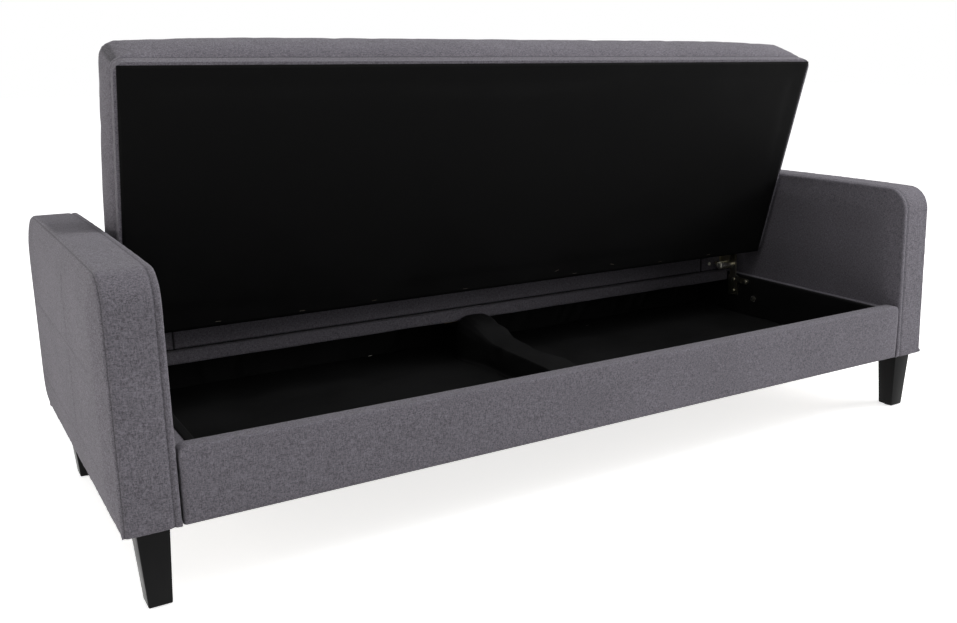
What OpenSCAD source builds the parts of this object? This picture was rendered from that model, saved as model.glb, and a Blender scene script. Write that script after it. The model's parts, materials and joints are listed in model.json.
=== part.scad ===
// Storage sofa with a lift-up seat and a folding backrest.
// It stands open: the seat is raised and the backrest lies flat behind it.
// X runs across the sofa, the front faces -Y, and Z is up from the floor.
// Places along Y are counted from the front plane, then moved to the origin,
// which is the middle of the sofa's footprint on the floor.

/* [Overall] */
// Width over both arms
overall_w = 2040; // [1800:1:2300]
// Height of the legs, floor to frame
leg_h = 153; // [120:1:200]

/* [Arms] */
// Thickness of an arm
arm_w = 96; // [90:1:130]
// How far an arm reaches behind the base
arm_over = 63; // [20:1:90]
// Height of an arm above the legs
arm_h = 453; // [420:1:520]
// Radius of the front top corner
arm_front_r = 58; // [40:1:80]
// Radius of the rear top corner
arm_rear_r = 46; // [30:1:70]
// Radius of the two lower corners
arm_foot_r = 10; // [8:1:14]
// Radius of the padded edges
arm_edge_r = 13; // [9:1:16]
// How far the padded faces swell between the seams
arm_swell = 5; // [2:1:7]
// Width of the padded border round the swollen faces
arm_border = 46; // [34:1:60]
// Width of the wooden foot rail inside an arm
arm_sill_w = 56; // [50:1:58]
// Height of the wooden foot rail inside an arm
arm_sill_h = 30; // [24:1:40]
// Thickness of the plywood panel inside an arm
arm_panel_t = 18; // [12:1:22]
// Padding between the plywood panel and the arm's rim
arm_pad = 30; // [26:1:40]

/* [Base box] */
// Height of the front rail
rail_h = 143; // [130:1:170]
// Thickness of the upholstered front rail
rail_t = 34; // [30:1:44]
// Radius of the front rail's top ends
rail_end_r = 14; // [8:1:18]
// Padding round the board in the front rail
rail_pad = 5; // [4:1:6]
// Gap between the front rail's end and the arm
rail_end_gap = 2; // [1:0.5:4]
// Width of a side rail
side_rail_w = 42; // [34:1:50]
// How far the side ledges lie under the front rail's top
ledge_drop = 10; // [6:1:16]
// Thickness of the fabric on the side ledges
ledge_cover_t = 4; // [3:1:6]
// Thickness of the board behind the box
rear_board_t = 18; // [15:1:22]
// Thickness of the cover behind the rear board
rear_cover_t = 3; // [2:1:5]
// Thickness of the storage floor
floor_t = 10; // [6:1:14]
// How far the floor panel is let up into the frame
floor_lift = 3; // [1:1:8]
// Thickness of the black lining cloth
lining_t = 1.5; // [1:0.5:2]
// Depth of the deck that carries the flat backrest
deck_d = 164; // [140:1:190]
// Height of the deck with its cover
deck_h = 32; // [28:1:40]
// Padding round the deck's board
deck_pad = 5; // [4:1:6]

/* [Divider] */
// Width of the beam between the two bays
beam_w = 62; // [50:1:76]
// Height of the beam above the floor panel
beam_h = 54; // [44:1:64]
// Depth of the post under the deck
post_d = 46; // [40:1:60]
// Thickness of the cloth and wadding over the beam
drape_t = 4; // [3:1:6]
// Length of the slope where the cloth climbs to the deck
drape_climb = 96; // [70:1:140]

/* [Legs] */
// Width of a leg at its top
leg_top_w = 56; // [50:1:60]
// Depth of a leg at its top
leg_top_d = 62; // [56:1:70]
// Width of a leg at its foot
leg_foot_w = 41; // [36:1:48]
// Depth of a leg at its foot
leg_foot_d = 45; // [40:1:52]
// Distance from the arm's outer face to the leg
leg_side = 22; // [18:1:24]
// Distance from the arm's front to the front leg
leg_front = 18; // [14:1:40]
// Distance from the arm's rear to the rear leg
leg_rear = 61; // [30:1:80]
// How much of the sideways taper is on the outer face
leg_outer_taper = 10; // [8:1:14]
// How much of the lengthwise taper is on the end face
leg_end_taper = 10; // [8:1:14]
// Thickness of the plate on a leg's top
leg_plate_t = 3; // [2:1:4]
// Side of the plate on a leg's top
leg_plate_w = 46; // [40:1:50]
// Radius of the leg's bolt
leg_bolt_r = 4; // [3:0.5:5]
// Length of the leg's bolt on each side of the plate
leg_bolt_reach = 24; // [18:1:28]
// Radius of the glide under a leg
glide_r = 15; // [12:1:17]
// Thickness of the glide under a leg
glide_t = 3; // [2:1:5]

/* [Seat] */
// Depth of the seat, front to back
seat_d = 602; // [560:1:640]
// Thickness of the seat at its edge
seat_t = 150; // [140:1:164]
// Height of the crown above the edge
seat_crown = 24; // [12:1:30]
// Radius of the seat's upper edge
seat_edge_r = 20; // [14:1:22]
// Gap between the seat and each arm
side_gap = 18; // [14:1:26]
// How far the closed seat stands out over the front rail
seat_over = 3; // [0:1:10]

/* [Backrest] */
// Length of the backrest
back_l = 450; // [420:1:520]
// Thickness of the backrest at its edge
back_t = 150; // [140:1:156]
// Height of the crown above the edge
back_crown = 20; // [10:1:26]
// Radius of the backrest's upper edge
back_edge_r = 20; // [14:1:30]
// Radius of the edge next to the seat
back_heel_r = 75; // [74:1:90]

/* [Cushion build] */
// Radius of a cushion's corners, seen from above
corner_r = 24; // [16:1:34]
// How far the sides pull in between the corners
draw_in = 3; // [0:0.5:4]
// Radius of the lower edges
base_edge_r = 5; // [3:1:6]
// Cover and padding over the frame's sides
frame_pad = 10; // [8:1:14]
// Cover over the rail that carries the brackets
hinge_pad = 4; // [3:0.5:5]
// Width of a frame rail
frame_rail_w = 32; // [28:1:40]
// Height of a frame rail
frame_h = 45; // [40:1:55]
// Thickness of a slat
slat_t = 10; // [8:1:14]
// Width of a slat
slat_w = 64; // [50:1:80]
// Number of slats in each frame
slat_count = 9; // [7:1:11]
// Rim of the cover round the lining underneath
lining_rim = 7; // [6:1:9]

/* [Hinges] */
// Angle that the seat and backrest turn through
lift_angle = 72; // [68:1:74]
// Distance from the closed seat's rear face back to the pivot
pivot_back = 14; // [14:0.5:18]
// Height of the pivot above the seat's underside
pivot_rise = 84; // [80:1:88]
// Distance from the pivot back to the flat backrest
back_gap = 39; // [38:1:44]
// Distance from the pivot back to the deck
deck_gap = 27; // [26:1:32]
// Radius of the pivot bolt
pivot_r = 5; // [4:0.5:6]
// Running clearance of the pivot bolt in a plate
pivot_fit = 0.05; // [0.02:0.01:0.08]
// Radius of a plate's eye round the pivot
eye_r = 13; // [11:0.5:13]
// Thickness of the base plate
plate_t = 5; // [4:0.5:6]
// Thickness of a seat or back bracket
ear_t = 4; // [3:0.5:5]
// Thickness of a washer
washer_t = 1.5; // [1:0.5:2]
// Length of the base plate under the pivot
plate_reach = 146; // [140:1:150]
// Width of a bracket's flange
flange_w = 62; // [54:1:70]
// Height of a bracket's flange
flange_h = 64; // [58:1:66]
// Radius of the stop sleeve
sleeve_r = 12; // [10:0.5:13]
// Length of the stop sleeve
sleeve_l = 47; // [40:1:56]
// Distance from the pivot down to the stop sleeve
sleeve_drop = 64; // [62:1:68]
// Distance from the pivot back to the stop sleeve
sleeve_back = 9; // [7:1:11]

/* [Ratchet] */
// Radius of the ratchet to the tips of its teeth
ratchet_r = 24; // [22:0.5:25]
// Depth of a tooth
tooth_h = 4; // [3:0.5:4.5]
// Thickness of the ratchet
ratchet_t = 6; // [5:0.5:8]
// Number of teeth
tooth_count = 5; // [3:1:6]
// Angle from one tooth to the next
tooth_step = 24; // [22:1:26]
// Radius of the pawl's boss
pawl_boss_r = 6; // [5:0.5:6.5]
// Radius of the pawl's nose
pawl_nose_r = 1.2; // [1:0.1:1.4]
// Radius of the pin that carries the pawl
pawl_pin_r = 2.5; // [2:0.1:3]
// Length of the pawl, pin to nose
pawl_l = 20; // [18:0.5:22]

/* [Fasteners] */
// Radius of the screws in the hinge plates
screw_r = 2.5; // [2:0.1:3]
// Radius of a screw's head
screw_head_r = 5; // [4:0.5:6]
// Height of a screw's head
screw_head_t = 2.5; // [2:0.5:3]
// Length of a screw's shank
screw_l = 22; // [16:1:24]
// Radius of the bolts that hold the arms
arm_bolt_r = 4; // [3:0.5:5]
// Radius of an arm bolt's head
arm_bolt_head_r = 9; // [8:0.5:11]
// Height of an arm bolt's head
arm_bolt_head_t = 5; // [4:0.5:6]

/* [Hidden] */

$fn = 48;
cut_over = 1;
rest_gap = 0.3;
soft_gap = 0.3;

cloth_grey = [0.42, 0.41, 0.43];
black_cloth = [0.06, 0.06, 0.06];
timber = [0.72, 0.57, 0.38];
zinc = [0.72, 0.70, 0.62];
black_wood = [0.09, 0.09, 0.10];
nylon = [0.16, 0.16, 0.16];

// Places across the sofa
arm_in_x = overall_w / 2 - arm_w;
box_x = arm_in_x - side_rail_w;
seat_w = 2 * (arm_in_x - side_gap);
arm_mid_x = arm_in_x + arm_w / 2;
sill_x = arm_mid_x - arm_sill_w / 2;
panel_x = arm_mid_x - arm_panel_t / 2;

// Heights
rail_top = leg_h + rail_h;
ledge_top = rail_top - ledge_drop;
floor_z = leg_h + floor_lift;
tray_z = floor_z + floor_t;
deck_z = rail_top - deck_h;
beam_top = tray_z + beam_h;
seat_z = rail_top + rest_gap + lining_t;
pivot_z = seat_z + pivot_rise;

// Places from the front plane
seat_front = -seat_over;
seat_rear = seat_front + seat_d;
pivot_y = seat_rear + pivot_back;
deck_front = pivot_y + deck_gap;
back_front = pivot_y + back_gap;
back_end = back_front + back_l;
base_end = deck_front + deck_d;
box_end = base_end - rear_board_t;
front_y = -back_end / 2;
arm_d = base_end + rear_cover_t + arm_over;

// Places of the hinge's plates across the sofa
base_ear_x = box_x - lining_t - plate_t;
seat_ear_x = base_ear_x - washer_t - ear_t;
ratchet_x = seat_ear_x - ratchet_t;
back_ear_x = ratchet_x - washer_t - ear_t;
nut_t = 7;
nut_r = 9;
bolt_head_t = 6;
bolt_head_r = 9;
nut_x = back_ear_x - washer_t - nut_t;
washer_r = 10;

// Places of the fasteners, from the front plane and the floor
plate_foot_w = 42;
plate_foot_h = 62;
plate_foot_out = 6;
plate_tab_l = 54.5;
plate_tab_r = 9;
stop_bolt_r = 4;
foot_r = 4;
foot_z = pivot_z - plate_reach - eye_r;
plate_screws = [
    [pivot_y - eye_r + foot_r * 2, foot_z + plate_foot_h - eye_r],
    [pivot_y - eye_r + foot_r * 2, foot_z + eye_r],
    [pivot_y - eye_r + foot_r * 2 - plate_tab_l, foot_z + plate_foot_h - eye_r]
];
arm_bolt_from_ends = 120;
arm_bolt_z = leg_h + rail_h / 2;
arm_bolts_y = [rail_t + arm_bolt_from_ends, pivot_y - arm_bolt_from_ends + eye_r * 2];
flange_lift = 7;
flange_z = seat_z + flange_lift;
flange_x = back_ear_x - flange_w;
flange_screw_shares = [0.25, 0.7];
flange_screws_x = [for (share = flange_screw_shares) flange_x + flange_w * share];
flange_screw_z = seat_z + frame_h / 2;

// The pawl lies along the ratchet's rim, with its nose under a tooth
nose_angle = -20;
nose_out = 0.1;
nose_reach = ratchet_r - pawl_nose_r + nose_out;
nose = [pivot_y + nose_reach * cos(nose_angle), pivot_z + nose_reach * sin(nose_angle)];
pawl_lean = 6;
pawl_pin = [
    nose[0] + pawl_l * sin(nose_angle) + pawl_lean * cos(nose_angle),
    nose[1] - pawl_l * cos(nose_angle) + pawl_lean * sin(nose_angle)
];
neck_share = 0.5;
neck_out = 4;
ratchet_turn = lift_angle + nose_angle;
tooth_lead = 4.2;
teeth_before_nose = 2;

// Stop sleeve, and the directions in which the brackets' necks leave the eye
sleeve = [pivot_y + sleeve_back, pivot_z - sleeve_drop];
seat_neck_angles = [135, -30];
back_neck_angles = [-150, 75];

// Small sizes of the wooden parts and their covers
floor_rebate = 12;
leg_skin = 1;
corner_spare = 1;
drape_sag = 3;
drape_points = 20;

// Moves a piece from the front plane to the origin
module from_front() {
    translate([0, front_y, 0]) children();
}

// Turns a piece of the closed seat up to its raised place
module raised() {
    translate([0, pivot_y, pivot_z])
        rotate([-lift_angle, 0, 0])
            translate([0, -pivot_y, -pivot_z])
                children();
}

// Copies a right-hand piece to the left as well
module both_sides() {
    children();
    mirror([1, 0, 0]) children();
}

// Keeps a right-hand piece, or turns it into the left-hand one
module on_side(left) {
    mirror([left ? 1 : 0, 0, 0]) children();
}

// Extrudes an outline that is drawn in Y and Z along X
module across(x, t) {
    translate([x, 0, 0]) rotate([90, 0, 90]) linear_extrude(height = t) children();
}

// A round bar along X
module bar_x(x, y, z, r, t) {
    translate([x, y, z]) rotate([0, 90, 0]) cylinder(r = r, h = t);
}

// A round bar along Y
module bar_y(x, y, z, r, t) {
    translate([x, y, z]) rotate([-90, 0, 0]) cylinder(r = r, h = t);
}

// A straight link with round ends, drawn flat
module link(a, b, r) {
    reach = norm(b - a);
    turn = atan2(b[1] - a[1], b[0] - a[0]);
    translate(a) circle(r = r);
    translate(b) circle(r = r);
    translate(a) rotate(turn) translate([0, -r]) square([reach, 2 * r]);
}

// A rectangle with round corners, drawn flat from its lowest corner
module round_rect(w, h, r) {
    translate([r, 0]) square([w - 2 * r, h]);
    translate([0, r]) square([w, h - 2 * r]);
    for (x = [r, w - r], y = [r, h - r]) translate([x, y]) circle(r = r);
}

// Padded forms are built from rims laid on each other. A rim is an outline
// with four corner radii, set in from the full size, with its sides drawn in.
arc_steps = 4;
side_steps = 5;
tight_r = 5;
rim_count = 4 * (arc_steps + side_steps + 1);

function corner_arc(cx, cy, r, from) =
    [for (i = [0:arc_steps]) let (a = from + 90 * i / arc_steps) [cx + r * cos(a), cy + r * sin(a)]];

function side_run(a, b, draw) =
    let (across_side = [b[1] - a[1], a[0] - b[0]] / norm(b - a))
    [for (i = [1:side_steps]) let (s = i / (side_steps + 1)) a + (b - a) * s - across_side * draw * sin(180 * s)];

function rim(w, d, radii, inset, draw) =
    let (
        r = [for (q = radii) max(q - inset, tight_r)],
        x = w / 2 - inset,
        y = d / 2 - inset,
        c0 = corner_arc(-x + r[0], -y + r[0], r[0], 180),
        c1 = corner_arc(x - r[1], -y + r[1], r[1], 270),
        c2 = corner_arc(x - r[2], y - r[2], r[2], 0),
        c3 = corner_arc(-x + r[3], y - r[3], r[3], 90)
    )
    concat(
        c0, side_run(c0[arc_steps], c1[0], draw),
        c1, side_run(c1[arc_steps], c2[0], draw),
        c2, side_run(c2[arc_steps], c3[0], draw),
        c3, side_run(c3[arc_steps], c0[0], draw)
    );

// Steps from a form's side to its face: how far each is set in, and how far
// it lies under the face. A swell is the crown between the edge and the reach.
edge_steps = 4;
swell_steps = 4;
function face_steps(r, swell, reach) = concat(
    [for (i = [0:edge_steps]) let (a = 90 * i / edge_steps) [r * (1 - cos(a)), swell + r * (1 - sin(a))]],
    swell > 0 ? [for (i = [1:swell_steps]) let (s = i / swell_steps) [r + (reach - r) * s, swell * pow(1 - s, 2)]] : []
);

function backwards(list) = [for (i = [len(list) - 1:-1:0]) list[i]];

// A padded form, centred in plan, with its lower face at zero
module padded(w, d, t, radii, lower, upper, draw) {
    levels = concat(
        [for (s = backwards(lower)) [s[0], s[1]]],
        [for (s = upper) [s[0], t - s[1]]]
    );
    rings = [for (s = levels) [for (p = rim(w, d, radii, s[0], draw)) [p[0], p[1], s[1]]]];
    last = len(levels) - 1;
    n = rim_count;
    points = concat(
        [for (ring = rings, p = ring) p],
        [[0, 0, levels[0][1]], [0, 0, levels[last][1]]]
    );
    low = n * (last + 1);
    high = low + 1;
    walls = [
        for (k = [0:last - 1], i = [0:n - 1])
            let (j = (i + 1) % n)
            for (half = [0, 1])
                half == 0
                    ? [k * n + i, (k + 1) * n + i, (k + 1) * n + j]
                    : [k * n + i, (k + 1) * n + j, k * n + j]
    ];
    caps = [
        for (i = [0:n - 1])
            let (j = (i + 1) % n)
            for (half = [0, 1])
                half == 0 ? [low, i, j] : [high, last * n + j, last * n + i]
    ];
    polyhedron(points = points, faces = concat(walls, caps), convexity = 6);
}

// Wooden panel and foot rail inside an arm, with the holes for its bolts
module arm_frame_body() {
    across(panel_x, arm_panel_t)
        translate([arm_pad, leg_h + arm_sill_h])
            round_rect(arm_d - 2 * arm_pad, arm_h - arm_sill_h - arm_pad, arm_front_r / 2);
    across(panel_x, arm_panel_t)
        translate([arm_pad, leg_h])
            square([arm_d - 2 * arm_pad, arm_sill_h + arm_front_r]);
    translate([sill_x, arm_foot_r, leg_h])
        cube([arm_sill_w, arm_d - 2 * arm_foot_r, arm_sill_h]);
}

module arm_frame(left) {
    color(timber) from_front() on_side(left) difference() {
        arm_frame_body();
        arm_bolt_shanks(0);
        for (y = leg_mid_y) leg_bolt(y);
    }
}

// Padded arm: a rounded slab with swollen faces, hollow for its frame
module arm(left) {
    radii = [arm_foot_r, arm_foot_r, arm_rear_r, arm_front_r];
    faces = face_steps(arm_edge_r, arm_swell, arm_border);
    color(cloth_grey) from_front() on_side(left) difference() {
        translate([arm_in_x, arm_d / 2, leg_h + arm_h / 2])
            rotate([90, 0, 90])
                padded(arm_d, arm_h, arm_w, radii, faces, faces, 0);
        arm_frame_body();
        translate([sill_x, arm_foot_r, leg_h - cut_over])
            cube([arm_sill_w, arm_d - 2 * arm_foot_r, 2 * cut_over]);
        arm_bolt_shanks(0);
    }
}

// Board inside the front rail
module front_rail_board() {
    half = arm_in_x - rail_end_gap - rail_end_r;
    translate([-half, rail_pad, leg_h]) cube([2 * half, rail_t - 2 * rail_pad, rail_h - rail_pad]);
}

module front_rail() {
    color(timber) from_front() front_rail_board();
}

// Upholstery round the front rail, with rounded top ends
module front_rail_cover() {
    low_r = rail_pad + corner_spare;
    edge = face_steps(rail_pad, 0, 0);
    color(cloth_grey) from_front() difference() {
        translate([0, rail_t, leg_h + rail_h / 2])
            rotate([90, 0, 0])
                padded(2 * (arm_in_x - rail_end_gap), rail_h, rail_t,
                    [low_r, low_r, rail_end_r, rail_end_r], edge, edge, 0);
        front_rail_board();
        translate([0, 0, -cut_over]) front_rail_board();
    }
}

// Side rail of the box, under its ledge cover
module side_rail(left) {
    color(timber) from_front() on_side(left) difference() {
        translate([box_x, rail_t, leg_h])
            cube([side_rail_w, box_end - rail_t, ledge_top - ledge_cover_t - leg_h]);
        translate([box_x - cut_over, 0, floor_z])
            cube([cut_over + floor_rebate, base_end, floor_t]);
        arm_bolt_shanks(0);
        plate_screw_shanks();
    }
}

// Grey strip over the side rail, rolled over on the box side
module ledge_cover(left) {
    color(cloth_grey) from_front() on_side(left) {
        translate([box_x, rail_t, ledge_top - ledge_cover_t])
            cube([side_rail_w, box_end - rail_t, ledge_cover_t / 2]);
        translate([box_x + ledge_cover_t / 2, rail_t, ledge_top - ledge_cover_t / 2])
            cube([side_rail_w - ledge_cover_t / 2, box_end - rail_t, ledge_cover_t / 2]);
        bar_y(box_x + ledge_cover_t / 2, rail_t, ledge_top - ledge_cover_t / 2,
            ledge_cover_t / 2, box_end - rail_t);
    }
}

// Board that closes the box at the rear
module rear_board() {
    color(timber) from_front()
        translate([-arm_in_x, box_end, leg_h])
            cube([2 * arm_in_x, rear_board_t, deck_z - leg_h]);
}

// Cover behind the rear board and the deck
module rear_cover() {
    color(cloth_grey) from_front()
        translate([-arm_in_x, base_end, leg_h])
            cube([2 * arm_in_x, rear_cover_t, rail_top - leg_h]);
}

// Board inside the rear deck
module deck_board() {
    translate([-box_x + deck_pad, deck_front + deck_pad, deck_z + deck_pad])
        cube([2 * (box_x - deck_pad), deck_d - 2 * deck_pad, deck_h - 2 * deck_pad]);
}

module rear_deck() {
    color(timber) from_front() deck_board();
}

// Upholstery round the deck that the flat backrest lies on
module rear_deck_cover() {
    edge = face_steps(deck_pad, 0, 0);
    around = deck_pad + corner_spare;
    color(cloth_grey) from_front() difference() {
        translate([0, deck_front + deck_d / 2, deck_z])
            padded(2 * box_x, deck_d, deck_h, [around, around, around, around], edge, edge, 0);
        deck_board();
    }
}

// Floor of the storage box, let into the side rails
module floor_panel() {
    color(timber) from_front()
        translate([-box_x - floor_rebate, rail_t, floor_z])
            cube([2 * (box_x + floor_rebate), box_end - rail_t, floor_t]);
}

// Lining cloth of one bay: its floor and the three walls that the drape leaves
module bay_lining(left) {
    inner_x = beam_w / 2 + drape_t;
    wall_top = ledge_top - ledge_cover_t;
    bay_w = box_x - inner_x;
    color(black_cloth) from_front() on_side(left) difference() {
        union() {
            translate([inner_x, rail_t, tray_z])
                cube([bay_w, box_end - rail_t, lining_t]);
            translate([inner_x, rail_t, tray_z])
                cube([bay_w, lining_t, wall_top - tray_z]);
            translate([box_x - lining_t, rail_t, tray_z])
                cube([lining_t, box_end - rail_t, wall_top - tray_z]);
            translate([inner_x, box_end - lining_t, tray_z])
                cube([bay_w, lining_t, deck_z - tray_z]);
        }
        translate([0, deck_front - soft_gap, deck_z])
            cube([overall_w, deck_d, deck_h + cut_over]);
        arm_bolt_shanks(0);
        plate_screw_shanks();
    }
}

// Beam between the bays, and the post that it carries under the deck
module beam_body() {
    translate([-beam_w / 2, rail_t, tray_z]) cube([beam_w, box_end - rail_t, beam_h]);
}

module post_body() {
    translate([-beam_w / 2, deck_front + deck_pad, beam_top]) cube([beam_w, post_d, deck_z - beam_top]);
}

module centre_beam() {
    color(timber) from_front() beam_body();
}

module centre_post() {
    color(timber) from_front() post_body();
}

// Cloth over the beam. It hangs a little between its ends, and climbs to the
// deck over the post.
function drape_top(y) =
    let (
        s = (y - rail_t) / (deck_front - rail_t),
        rise = max(0, min(1, 1 - (deck_front - y) / drape_climb)),
        flat = beam_top + drape_t + drape_sag * (1 - sin(180 * min(1, s)))
    )
    flat + (deck_z - flat) * rise * rise * (3 - 2 * rise);

module divider_drape() {
    end_y = deck_front + deck_pad + post_d + drape_t;
    curve = [
        for (i = [0:drape_points])
            let (y = rail_t + (deck_front - rail_t) * i / drape_points)
            [y, drape_top(y)]
    ];
    side = concat([[rail_t, tray_z]], curve, [
        [end_y, deck_z], [end_y, beam_top + drape_t],
        [box_end, beam_top + drape_t], [box_end, tray_z]
    ]);
    color(black_cloth) from_front() difference() {
        across(-beam_w / 2 - drape_t, beam_w + 2 * drape_t) polygon(side);
        beam_body();
        translate([0, 0, -cut_over]) beam_body();
        post_body();
    }
}

// Legs taper on all sides, most at the outer face and the end of the sofa
leg_x = overall_w / 2 - leg_side - leg_top_w / 2;
leg_mid_y = [leg_front + leg_top_d / 2, arm_d - leg_rear - leg_top_d / 2];

module leg(left, rear) {
    top_z = leg_h - leg_plate_t;
    drop = top_z - glide_t;
    foot_x = leg_x + leg_top_w / 2 - leg_outer_taper - leg_foot_w;
    foot_y = leg_end_taper - leg_top_d / 2;
    color(black_wood) from_front() on_side(left) difference() {
        translate([0, leg_mid_y[rear ? 1 : 0], glide_t]) mirror([0, rear ? 1 : 0, 0]) {
            hull() {
                translate([foot_x, foot_y, 0]) cube([leg_foot_w, leg_foot_d, leg_skin]);
                translate([leg_x - leg_top_w / 2, -leg_top_d / 2, drop - leg_skin])
                    cube([leg_top_w, leg_top_d, leg_skin]);
            }
        }
        leg_bolt(leg_mid_y[rear ? 1 : 0]);
    }
}

module leg_bolt(y) {
    translate([leg_x, y, leg_h - leg_bolt_reach]) cylinder(r = leg_bolt_r, h = 2 * leg_bolt_reach);
}

module leg_bolts() {
    color(zinc) from_front() both_sides() for (y = leg_mid_y) leg_bolt(y);
}

module leg_plates() {
    color(zinc) from_front() both_sides() for (y = leg_mid_y) difference() {
        translate([leg_x - leg_plate_w / 2, y - leg_plate_w / 2, leg_h - leg_plate_t])
            cube([leg_plate_w, leg_plate_w, leg_plate_t]);
        leg_bolt(y);
    }
}

// Glides under the legs, in the middle of each foot
module leg_glides() {
    foot_mid_x = leg_x + leg_top_w / 2 - leg_outer_taper - leg_foot_w / 2;
    shift = leg_end_taper - leg_top_d / 2 + leg_foot_d / 2;
    color(nylon) from_front() both_sides() {
        translate([foot_mid_x, leg_mid_y[0] + shift, 0]) cylinder(r = glide_r, h = glide_t);
        translate([foot_mid_x, leg_mid_y[1] - shift, 0]) cylinder(r = glide_r, h = glide_t);
    }
}

// Bolts that hold each arm to its side rail, from inside the box
module arm_bolt_shanks(over) {
    for (y = arm_bolts_y)
        bar_x(box_x - lining_t - over, y, arm_bolt_z, arm_bolt_r,
            panel_x + arm_panel_t - box_x + lining_t + over);
}

module arm_bolts() {
    color(zinc) from_front() both_sides() {
        arm_bolt_shanks(0);
        for (y = arm_bolts_y)
            bar_x(box_x - lining_t - arm_bolt_head_t, y, arm_bolt_z, arm_bolt_head_r, arm_bolt_head_t);
    }
}

// Base plate: a foot screwed inside the box, and a strap up to the pivot
module base_plate(left) {
    eye = [pivot_y, pivot_z];
    color(zinc) from_front() on_side(left) difference() {
        across(base_ear_x, plate_t) difference() {
            union() {
                link(eye, [pivot_y, foot_z + plate_foot_h / 2], eye_r);
                translate(sleeve) circle(r = sleeve_r);
                translate([pivot_y + eye_r + plate_foot_out - plate_foot_w, foot_z])
                    round_rect(plate_foot_w, plate_foot_h, foot_r);
                link(plate_screws[0], plate_screws[2], plate_tab_r);
            }
            translate(eye) circle(r = pivot_r + pivot_fit);
            translate(sleeve) circle(r = stop_bolt_r);
        }
        plate_screw_shanks();
    }
}

module plate_screw_shanks() {
    for (p = plate_screws)
        bar_x(base_ear_x, p[0], p[1], screw_r, screw_l + plate_t + lining_t);
}

module base_plate_screws() {
    color(zinc) from_front() both_sides() {
        plate_screw_shanks();
        for (p = plate_screws)
            bar_x(base_ear_x - screw_head_t, p[0], p[1], screw_head_r, screw_head_t);
    }
}

// Pivot bolt: its head is behind the base plate and its nut is in the sofa
module pivot_bolts() {
    color(zinc) from_front() both_sides() {
        bar_x(nut_x - washer_t, pivot_y, pivot_z, pivot_r, base_ear_x + plate_t - nut_x + washer_t);
        translate([base_ear_x + plate_t, pivot_y, pivot_z])
            rotate([0, 90, 0]) cylinder(r = bolt_head_r, h = bolt_head_t, $fn = 6);
    }
}

module pivot_nuts() {
    color(zinc) from_front() both_sides() difference() {
        translate([nut_x, pivot_y, pivot_z]) rotate([0, 90, 0]) cylinder(r = nut_r, h = nut_t, $fn = 6);
        bar_x(nut_x - cut_over, pivot_y, pivot_z, pivot_r, nut_t + 2 * cut_over);
    }
}

// Washers between the plates
module pivot_washers() {
    color(nylon) from_front() both_sides()
        for (x = [nut_x + nut_t, back_ear_x + ear_t, seat_ear_x + ear_t]) difference() {
            bar_x(x + pivot_fit, pivot_y, pivot_z, washer_r, washer_t - 2 * pivot_fit);
            bar_x(x - cut_over, pivot_y, pivot_z, pivot_r, washer_t + 2 * cut_over);
        }
}

// Sleeve that the back bracket's heel comes down on
module stop_sleeves() {
    color(zinc) from_front() both_sides() difference() {
        bar_x(base_ear_x - sleeve_l, sleeve[0], sleeve[1], sleeve_r, sleeve_l);
        bar_x(base_ear_x - sleeve_l - cut_over, sleeve[0], sleeve[1], stop_bolt_r, sleeve_l + 2 * cut_over);
    }
}

module stop_bolts() {
    head_r = sleeve_r - 2 * cut_over;
    color(zinc) from_front() both_sides() {
        bar_x(base_ear_x - sleeve_l, sleeve[0], sleeve[1], stop_bolt_r, sleeve_l + plate_t);
        translate([base_ear_x - sleeve_l - screw_head_t, sleeve[0], sleeve[1]])
            rotate([0, 90, 0]) cylinder(r = head_r, h = screw_head_t, $fn = 6);
    }
}

// Screws that hold a bracket's flange. They run along Y from the flange's face.
module flange_screws(face, dir) {
    for (x = flange_screws_x) {
        translate([x, face, flange_screw_z]) rotate([-90 * dir, 0, 0]) cylinder(r = screw_r, h = screw_l + ear_t);
        translate([x, face, flange_screw_z]) rotate([90 * dir, 0, 0]) cylinder(r = screw_head_r, h = screw_head_t);
    }
}

module flange_holes(face, dir) {
    for (x = flange_screws_x)
        translate([x, face, flange_screw_z])
            rotate([-90 * dir, 0, 0]) cylinder(r = screw_r, h = screw_l + ear_t);
}

// Frame of a cushion: four rails, open in the middle
module frame_body(y0, y1) {
    half = seat_w / 2 - frame_pad;
    difference() {
        translate([-half, y0, seat_z]) cube([2 * half, y1 - y0, frame_h]);
        translate([-half + frame_rail_w, y0 + frame_rail_w, seat_z - cut_over])
            cube([2 * (half - frame_rail_w), y1 - y0 - 2 * frame_rail_w, frame_h + 2 * cut_over]);
    }
}

module frame_pocket(y0, y1) {
    half = seat_w / 2 - frame_pad;
    translate([-half, y0, seat_z - cut_over]) cube([2 * half, y1 - y0, frame_h + cut_over]);
}

// Slats between the front and rear rails of a frame, flush with their top
module slats(y0, y1) {
    span = seat_w - 2 * frame_pad - 2 * frame_rail_w;
    step = span / slat_count;
    for (i = [0:slat_count - 1])
        translate([-span / 2 + step * (i + 0.5) - slat_w / 2, y0 + frame_rail_w, seat_z + frame_h - slat_t])
            cube([slat_w, y1 - y0 - 2 * frame_rail_w, slat_t]);
}

// Black cloth stapled under a cushion
module under_lining(y0, y1) {
    half = seat_w / 2 - lining_rim;
    translate([-half, y0, seat_z - lining_t]) cube([2 * half, y1 - y0, lining_t]);
}

// Seat, as it lies when it is closed
seat_frame_y = [seat_front + frame_pad, seat_rear - hinge_pad];
seat_flange_y = seat_rear - hinge_pad;

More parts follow.
